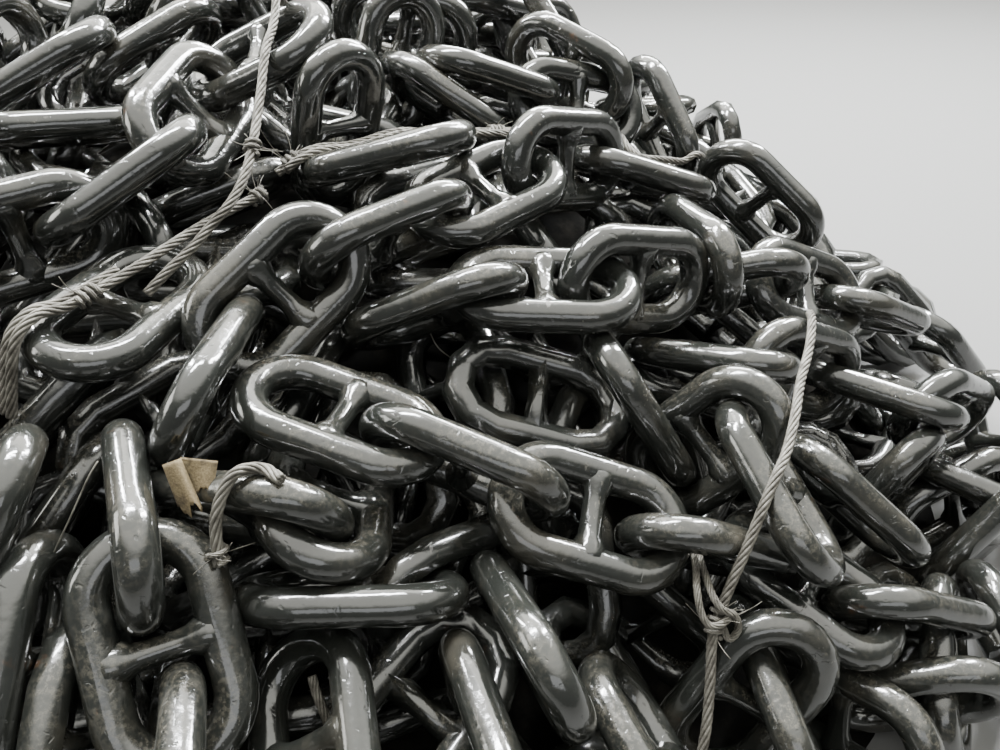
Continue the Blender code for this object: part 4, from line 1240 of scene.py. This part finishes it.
def keep_inside(middles, turns):
    """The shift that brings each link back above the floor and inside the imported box."""
    spots = spots_of(middles, turns)
    low, high = spots.min(axis=1) - BAR / 2, spots.max(axis=1) + BAR / 2
    least = np.array([CAD_BOX[0][0] - OVERHANG, CAD_BOX[0][1] - OVERHANG, FLOOR_GAP])
    most = np.array([CAD_BOX[1][0] + OVERHANG, CAD_BOX[1][1] + OVERHANG, CAD_BOX[1][2] + OVERHANG])
    return np.maximum(least - low, 0) - np.maximum(high - most, 0)


print("spots along the ropes", len(ROPE_SPOTS))

# %% Easing the heap
EASE_STEPS = 110
SEAT = LINK_LENGTH / 2 - BAR
HOOK_SLACK = 0.012
EASE_SHARE = 1.3
PRINTED_OVERLAP = -0.004


def ease(middles, turns, loose, hooked, steps):
    """Repeats: draw hooked crowns together, push overlaps apart, keep all inside the heap."""
    for _ in range(steps):
        shift, spin, pushes = np.zeros_like(middles), np.zeros_like(middles), np.zeros(len(middles))
        state = (middles, turns, loose, shift, spin, pushes)
        first, second = hooked.T
        ends = [middles[which] + sign * SEAT * turns[which][:, :, 0]
                for which, sign in ((first, 1), (second, -1))]
        way, apart = units(ends[1] - ends[0])
        push(state, first, second, ends[0], ends[1], way, -np.maximum(apart - HOOK_SLACK, 0))
        first, second = near_pairs(middles, loose)
        gap, on_first, on_second = deepest(middles, turns, first, second)
        tight = gap < 0
        way, _ = units(on_second[tight] - on_first[tight])
        push(state, first[tight], second[tight], on_first[tight], on_second[tight], way,
             np.minimum(-gap[tight], MOST_STEP))
        push_off_ropes(state)
        share = (EASE_SHARE / np.maximum(pushes, 1))[:, None]
        middles = middles + shift * share
        turns = turned(turns, spin * share)
        middles += keep_inside(middles, turns) * loose[:, None]
    return middles, turns


counts = [len(OUTER_MIDDLES), len(seen_middles), len(skin_middles), len(deep_middles)]
starts = np.cumsum([0] + counts)
all_middles = np.concatenate([OUTER_MIDDLES, seen_middles, skin_middles, deep_middles])
all_turns = np.concatenate([OUTER_TURNS, seen_turns, skin_turns, deep_turns])
all_loose = (np.arange(starts[-1]) >= starts[1]).astype(float)
all_hooked = np.concatenate([skin_hooked + starts[2], deep_hooked + starts[3]])
all_middles, all_turns = ease(all_middles, all_turns, all_loose, all_hooked, EASE_STEPS)
pair_first, pair_second = near_pairs(all_middles, all_loose)
pair_gap = deepest(all_middles, all_turns, pair_first, pair_second)[0]
past = int((pair_gap < PRINTED_OVERLAP).sum())
print("links", starts[-1], "overlaps past", -PRINTED_OVERLAP, "m:", past, "least gap", pair_gap.min())

# %% [markdown]
# ## Which loose links stay
# A loose link that still cuts deep into another is taken away, the lower one of the two. So is
# one that has come up in front of the top layer or of a rope, or that stands out past the heap's
# outline against the floor. Then links are tried in the holes that are left, and flat on the
# floor round the foot, each at a spot and a turn drawn at random, and those that fit stay.

# %% Links that cut too deep
TOO_DEEP = -0.005


def cut_out(middles, turns, loose):
    """Marks loose links for removal, worst overlap first, until none is too deep."""
    first, second = near_pairs(middles, loose)
    gap = deepest(middles, turns, first, second)[0]
    gone = np.zeros(len(middles), bool)
    for k in np.argsort(gap):
        if gap[k] > TOO_DEEP:
            break
        a, b = first[k], second[k]
        if gone[a] or gone[b]:
            continue
        rank = [(loose[which], -middles[which, 2]) for which in (a, b)]
        gone[a if rank[0] > rank[1] else b] = True
    return gone


print("an overlap past", -TOO_DEEP, "m costs the lower link its place")

# %% What may not be hidden
HIDES = 0.012
ROPE_HIDES = 0.004
HIDES_PIXELS = 13.0
MOST_HIDING = 3
MOST_OUTSIDE = 2
MOST_SIGHTED_OUTSIDE = 7
OUTLINE_ACROSS = [560, 600, 700, 800, 850, 950, 1000]
OUTLINE_DOWN = [10, 50, 92, 180, 238, 322, 385]


def seen_spots(spots, margin):
    """Pixel across and down of spots, and the depth short of which a thing stands before them."""
    across, down, depth = in_picture(spots)
    return np.stack([across, down, depth - margin])[:, depth > 0]


top_spots = spots_of(all_middles[:starts[1]], all_turns[:starts[1]]).reshape(-1, 3)
LINKS_SHOWN = seen_spots(top_spots, HIDES)
ROPES_SHOWN = seen_spots(ROPE_SPOTS, ROPE_HIDES)


def spots_hiding(across, down, depth, shown):
    """How many spots cover, in the picture, one of those that should show."""
    aside = np.hypot(across[:, None] - shown[0], down[:, None] - shown[1])
    return int(((aside < HIDES_PIXELS) & (depth[:, None] < shown[2])).any(axis=1).sum())


def in_the_way(spots, sighted):
    """Whether a link hides a rope, stands out past the heap's outline against the floor or, if
    it isn't placed by sight, hides much of the top layer."""
    across, down, depth = in_picture(spots)
    across, down, depth = across[depth > 0], down[depth > 0], depth[depth > 0]
    if spots_hiding(across, down, depth, ROPES_SHOWN) > 0:
        return True
    outside = (across > OUTLINE_ACROSS[0]) & (down < np.interp(across, OUTLINE_ACROSS, OUTLINE_DOWN))
    inside_picture = (across < PICTURE_WIDTH) & (down > 0)
    if (outside & inside_picture).sum() > (MOST_SIGHTED_OUTSIDE if sighted else MOST_OUTSIDE):
        return True
    return not sighted and spots_hiding(across, down, depth, LINKS_SHOWN) > MOST_HIDING


print("spots that should show: links", LINKS_SHOWN.shape[1], "ropes", ROPES_SHOWN.shape[1])

# %% Drawing back, and taking away
STEP_BACK = 0.012
MOST_STEPS_BACK = 8
SECOND_EASE = 50


def drawn_back(k):
    """A link's middle, moved away along its line of sight until nothing is hidden, or None."""
    way = unit(all_middles[k] - EYE)
    for step in range(MOST_STEPS_BACK + 1):
        middle = all_middles[k] + step * STEP_BACK * way
        if not in_the_way(spots_of(middle[None], all_turns[k:k + 1])[0], k < starts[2]):
            return middle
    return None


gone = np.zeros(starts[-1], bool)
for k in np.nonzero(all_loose > 0)[0]:
    back = drawn_back(k)
    gone[k] = back is None
    all_middles[k] = all_middles[k] if back is None else back
print("hide too much", int(gone.sum()))
number_of = np.cumsum(~gone) - 1
hooked = number_of[all_hooked[~gone[all_hooked].any(axis=1)]]
all_middles, all_turns, all_loose = all_middles[~gone], all_turns[~gone], all_loose[~gone]
all_middles, all_turns = ease(all_middles, all_turns, all_loose, hooked, SECOND_EASE)
sighted_end = starts[1] + int((~gone[starts[1]:starts[2]]).sum())
gone = cut_out(all_middles, all_turns, all_loose)
for k in np.nonzero(~gone & (all_loose > 0))[0]:
    gone[k] = in_the_way(spots_of(all_middles[k:k + 1], all_turns[k:k + 1])[0], k < sighted_end)
print("taken away", int(gone.sum()), "kept", int((~gone).sum()))

# %% A try at one more link
HOLE_GAP = -0.005


class Filling:
    """The links laid so far, and a try at laying one more among them."""

    def __init__(self, middles, turns):
        """Starts with the links that are there."""
        self.middles, self.spots = list(middles), list(spots_of(middles, turns))
        self.added = []

    def least_gap(self, own, away):
        """The least gap from a link's own spots to the links near it and to the ropes."""
        near = np.nonzero(away < EASE_NEAR)[0]
        others = np.array([self.spots[k] for k in near]).reshape(-1, 3)
        apart = np.linalg.norm(own[:, None] - others[None], axis=-1)
        gap = (apart - SPOT_RADIUS[:, None] - np.tile(SPOT_RADIUS, len(near))[None]).min(initial=1.0)
        rope_gap = np.linalg.norm(own[:, None] - ROPE_SPOTS[None], axis=-1).min() - BAR / 2 - ROPE / 2
        return min(gap, rope_gap)

    def lay(self, middle, heading, roll):
        """Tries a link with its length along the skin at heading, and its width turned by roll."""
        way, out = np.array([math.cos(heading), math.sin(heading), 0.0]), skin_out(middle)
        return self.fit(middle, run_turn(way - (way @ out) * out, out, roll))

    def fit(self, middle, turn):
        """Lays a link if it clears the others, the ropes and the floor, and hides nothing."""
        away = np.linalg.norm(np.array(self.middles) - middle, axis=1)
        if away.min() < BAR or np.abs(keep_inside(middle[None], turn[None])).max() > 0:
            return False
        own = spots_of(middle[None], turn[None])[0]
        if self.least_gap(own, away) < HOLE_GAP or in_the_way(own, False):
            return False
        self.middles.append(middle)
        self.spots.append(own)
        self.added.append((middle, turn))
        return True


kept = np.nonzero(~gone)[0]
filling = Filling(all_middles[kept], all_turns[kept])
print("links before the filling", len(filling.middles))

# %% Filling the holes
HOLE_CELL = 22.0
HOLE_CLEAR = 24.0
HOLE_DEPTHS = (0.02, 0.30)
SEEN_TRIES = 220
SEEN_ROLL = 1.4
FOOT_TRIES = 5000
FOOT_BAND = (0.74, 1.0)
FOOT_TILT = 0.35
OTHER_TRIES = 8000
OTHER_ROLL = 1.2


def fill_seen_holes(filling):
    """Tries links at each spot of the picture that no link covers, from the skin downwards."""
    for down in np.arange(HOLE_CELL / 2, PICTURE_HEIGHT, HOLE_CELL):
        for across in np.arange(HOLE_CELL / 2, PICTURE_WIDTH, HOLE_CELL):
            if down < np.interp(across, OUTLINE_ACROSS, OUTLINE_DOWN, left=-HOLE_CELL) + HOLE_CELL:
                continue
            seen = in_picture(np.array(filling.spots).reshape(-1, 3))
            if np.hypot(seen[0] - across, seen[1] - down)[seen[2] > 0].min() < HOLE_CLEAR:
                continue
            for depth in np.linspace(*HOLE_DEPTHS, SEEN_TRIES):
                aside, below = rng.uniform(-HOLE_CELL, HOLE_CELL, 2)
                middle = spot_in_sight(across + aside, down + below, -depth)
                if filling.lay(middle, rng.uniform(0, math.tau), rng.uniform(-SEEN_ROLL, SEEN_ROLL)):
                    break


def fill_foot(filling):
    """Tries links on the floor all round the foot, nearly flat, each with its lowest spot down."""
    for _ in range(FOOT_TRIES):
        x, y = mound_spot(rng.uniform(*FOOT_BAND), rng.uniform(0, math.tau))
        heading, (pitch, roll) = rng.uniform(0, math.tau), rng.normal(0, FOOT_TILT, 2)
        along = np.array([math.cos(heading), math.sin(heading), pitch])
        turn = run_turn(along, np.array([0.0, 0.0, 1.0]), roll)
        lowest = (SPOTS @ turn.T)[:, 2].min()
        filling.fit(np.array([x, y, 2 * FLOOR_GAP + BAR / 2 - lowest]), turn)


def fill_anywhere(filling):
    """Tries links all over the mound, each at a spot, a depth and a turn drawn at random."""
    for _ in range(OTHER_TRIES):
        share, angle, heading = FOOT_SHARE * math.sqrt(rng.uniform()), *rng.uniform(0, math.tau, 2)
        spot = on_skin(*mound_spot(share, angle), rng.uniform(*HOLE_DEPTHS))
        filling.lay(spot, heading, rng.uniform(-OTHER_ROLL, OTHER_ROLL))


fill_seen_holes(filling)
seen_holes = len(filling.added)
fill_foot(filling)
foot_links = len(filling.added) - seen_holes
fill_anywhere(filling)
loose_kept = kept[kept >= starts[1]]
final_middles = np.concatenate([all_middles[loose_kept], [middle for middle, _ in filling.added]])
final_turns = np.concatenate([all_turns[loose_kept], [turn for _, turn in filling.added]])
print("links fitted into holes seen", seen_holes, "round the foot", foot_links,
      "and in all", len(filling.added), "loose links in all", len(final_middles))

# %% [markdown]
# ## Finer and plainer copies
# What is left goes into three joined pieces, because a heap of hundreds of objects is slow to
# handle. A link that is seen close to has a rounder bar, the others on the skin are plain, and
# those deep under it, which barely show, are the plainest.

# %% Making the pieces
CLOSE = 1.75
UNDER = 0.05
VIEW_MARGIN = 60.0


def seen_close(middles):
    """Which links lie in the picture, close to the eye and not deep under the skin."""
    across, down, depth = in_picture(middles)
    beside = np.abs(across - MIDDLE_ACROSS) - MIDDLE_ACROSS
    beyond = np.abs(down - MIDDLE_DOWN) - MIDDLE_DOWN
    in_view = (depth > 0) & (depth < CLOSE) & (np.maximum(beside, beyond) < VIEW_MARGIN)
    return in_view & (skin_height(middles[:, 0], middles[:, 1]) - middles[:, 2] < UNDER)


def link_piece(name, which, link, finish, slot):
    """Copies of a link at the chosen places, as one piece with one finish."""
    points, faces = laid(link, final_middles[which], final_turns[which])
    piece = make_piece(name, points, faces, slot=slot)
    piece.data.materials.append(finish)
    print(name, "links", len(which), "faces", len(piece.data.polygons))
    return piece


close = seen_close(final_middles)
inner = skin_height(final_middles[:, 0], final_middles[:, 1]) - final_middles[:, 2] >= UNDER
link_piece("loose_links_in_front", np.nonzero(close)[0], MIDDLE_LINK, FRESH, "bitumen_paint")
link_piece("loose_links_under", np.nonzero(inner)[0], PLAINEST_LINK, BURIED, "buried_bitumen")
link_piece("loose_links_behind", np.nonzero(~close & ~inner)[0], PLAIN_LINK, FRESH, "bitumen_paint")

# %% [markdown]
# ## A scrap of card
# A small thing tells the eye how big the heap is: two torn pieces of card, caught by a link's
# crown. Each is a grid between four corners seen in the picture, curled by a parabola and given a
# thickness. Its torn edge is a sum of two waves.

# %% The card's shape
CARD = 0.0016
CARD_ROWS = 12
CARD_COLUMNS = 16
CARD_WAVE = 0.004
CARD_GAP = 0.004
CARD_NEARER = 0.030
TEAR_WAVES = ((0.10, 5.1, 0.0), (0.05, 13.0, 1.0))
CARD_PIECES = {
    "card_flat": ((180, 457), (218, 461), (188, 492), (212, 499), 0.003),
    "card_torn": ((162, 465), (181, 458), (184, 523), (205, 513), 0.007),
}


def depth_near(across, down, nearer):
    """How deep the top layer lies next to a pixel, less a little."""
    seen = in_picture(top_spots)
    return float(seen[2][np.argmin(np.hypot(seen[0] - across, seen[1] - down))]) - nearer


def card(corners, curl, depth):
    """A sheet between four corners seen in the picture: its two faces CARD apart, its middle
    raised by curl (1 - u^2), and its lower edge torn by two waves."""
    spots = [EYE + depth * sight_line(*corner) for corner in corners]
    u = np.linspace(-1, 1, CARD_COLUMNS)[None, :, None]
    tear = 1
    for size, rate, start in TEAR_WAVES:
        tear = tear - size * (1 + np.sin(rate * u + start))
    v = np.linspace(0, 1, CARD_ROWS)[:, None, None] * tear
    top = spots[0] + (u + 1) / 2 * (spots[1] - spots[0])
    low = spots[2] + (u + 1) / 2 * (spots[3] - spots[2])
    out = -sight_line(*corners[0])
    sheet = top + v * (low - top) + (curl * (1 - u ** 2) + CARD_WAVE * v * np.sin(3 * u)) * out
    faces = grid_faces(CARD_ROWS, CARD_COLUMNS, False).reshape(CARD_ROWS - 1, CARD_COLUMNS, 4)[:, :-1]
    faces = faces.reshape(-1, 4)
    count = CARD_ROWS * CARD_COLUMNS
    grid = np.arange(count).reshape(CARD_ROWS, CARD_COLUMNS)
    rim = np.concatenate([grid[0], grid[1:, -1], grid[-1, -2::-1], grid[-2:0:-1, 0]])
    beside = np.roll(rim, -1)
    wall = np.stack([rim, beside, beside + count, rim + count], axis=1)
    sides = [(sheet + side * CARD / 2 * out).reshape(-1, 3) for side in (1, -1)]
    points = np.concatenate(sides)
    return points, [faces[:, ::-1], faces + count, wall]


print("a tear takes up to", round(2 * sum(row[0] for row in TEAR_WAVES), 2), "of the card's height")

# %% The card's finish
CARD_DARK = (0.120, 0.092, 0.050, 1.0)
CARD_PALE = (0.180, 0.142, 0.082, 1.0)
CARD_STAIN = (0.035, 0.027, 0.018, 1.0)


def card_finish(name):
    """Brown card: paler where scuffed, with oily stains from the paint."""
    made, tree, shader = new_material(name)
    place = object_place(tree)
    stain = between(tree, noise(tree, place, 48.0, 4.0, 0.6), 0.50, 0.66)
    fibre = between(tree, noise(tree, place, 420.0, 3.0, 0.7), 0.35, 0.70)
    colour = blend(tree, fibre, CARD_DARK, CARD_PALE)
    colour = blend(tree, work(tree, "MULTIPLY", stain, 0.85), colour, CARD_STAIN)
    tree.links.new(colour, shader.inputs["Base Color"])
    shader.inputs["Roughness"].default_value = 0.85
    shader.inputs["Specular IOR Level"].default_value = 0.25
    tree.links.new(bump(tree, fibre, 0.4, 0.0006), shader.inputs["Normal"])
    return made


CARD_DEPTH = depth_near(190, 480, CARD_NEARER)
scraps = [card(row[:4], row[4], CARD_DEPTH - CARD_GAP * k) for k, row in enumerate(CARD_PIECES.values())]
card_scraps = make_piece("card_scraps", *joined(scraps))
card_scraps.data.materials.append(card_finish("brown_card"))
print("card scraps, faces", len(card_scraps.data.polygons))

# %% [markdown]
# ## The dark inside
# Between the deep links nothing shows but shadow. A plain dark mound stands there in place of the
# packed core, well under the links, so that no light comes through the heap. Its near-black colour
# is painted shade, standing for the buried links in shadow.

# %% The inner mound
INNER_DEPTH = 0.27
INNER_WAYS = np.radians([0, 50, 150, 180, 230, 270, 330, 345, 360])
INNER_FEET = [0.80, 0.66, 0.66, 0.74, 0.88, 0.95, 0.95, 0.89, 0.80]
INNER_BOTTOM = 0.001
INNER_LIP = 0.012
INNER_WAVE = 0.012
LIP_POWER = 12
FIRST_RING = 0.04
INNER_RINGS = 40
INNER_SECTORS = 96


def inner_mound():
    """Rings out from the peak, share sin(t) of its own reach, which is less than the skin's, above
    all on the steep sides. Its height is the lower of the skin's less INNER_DEPTH and of
    (HEAP_HEIGHT - INNER_DEPTH) (1 - share^2)^SLOPE_POWER, with a small wave laid over both, and
    never under a low lip."""
    share = np.sin(np.linspace(FIRST_RING, 1, INNER_RINGS) * math.pi / 2)[:, None]
    angle = (np.arange(INNER_SECTORS) * 2 * math.pi / INNER_SECTORS)[None, :]
    foot = np.interp(angle, INNER_WAYS, INNER_FEET)
    reach_x = foot * np.where(np.cos(angle) > 0, RIGHT_REACH, LEFT_REACH)
    reach_y = foot * np.where(np.sin(angle) > 0, BACK_REACH, FRONT_REACH)
    x = PEAK[0] + share * np.cos(angle) * reach_x
    y = PEAK[1] + share * np.sin(angle) * reach_y
    wave = INNER_WAVE * np.sin(19 * x + 3 * np.sin(7 * y)) * np.cos(17 * y)
    own = (HEAP_HEIGHT - INNER_DEPTH) * np.clip(1 - share ** 2, 0.0, 1.0) ** SLOPE_POWER
    lip = INNER_BOTTOM + INNER_LIP * (1 - share ** LIP_POWER)
    z = np.maximum(np.minimum(skin_height(x, y) - INNER_DEPTH, own) + wave, lip)
    middle = np.array([[PEAK[0], PEAK[1], HEAP_HEIGHT - INNER_DEPTH], [PEAK[0], PEAK[1], INNER_BOTTOM]])
    faces = grid_faces(INNER_RINGS, INNER_SECTORS, False)
    grid = np.stack([x, y, z], axis=-1).reshape(-1, 3)
    caps = cap_faces(INNER_RINGS, INNER_SECTORS)
    return np.concatenate([grid, middle]), [faces[:, ::-1], caps[:, ::-1]]


# The inner mound stands for the buried links; its dark finish is painted shade.
core = make_piece("inner_mound", *inner_mound(), stands_for=["buried_links"], slot="buried_bitumen")
print("inner mound faces", len(core.data.polygons))

# %% The inner mound's painted shade
# Painted shade: the mound's near-black colour, and a slightly lighter one for random patches.
SHADOW = (0.006, 0.006, 0.0055, 1.0)
LIGHTER_SHADE = (0.020, 0.018, 0.015, 1.0)


def shadow_finish(name):
    """Painted shade: near black and matt, a little lighter in random patches."""
    made, tree, shader = new_material(name)
    patch = between(tree, noise(tree, object_place(tree), 16.0, 5.0, 0.7), 0.45, 0.75)
    colour = blend(tree, patch, SHADOW, LIGHTER_SHADE)
    tree.links.new(colour, shader.inputs["Base Color"])
    shader.inputs["Roughness"].default_value = 1.0
    shader.inputs["Specular IOR Level"].default_value = 0.05
    return made


core.data.materials.append(shadow_finish("deep_shadow"))
print("inner mound's finish", core.data.materials[0].name)
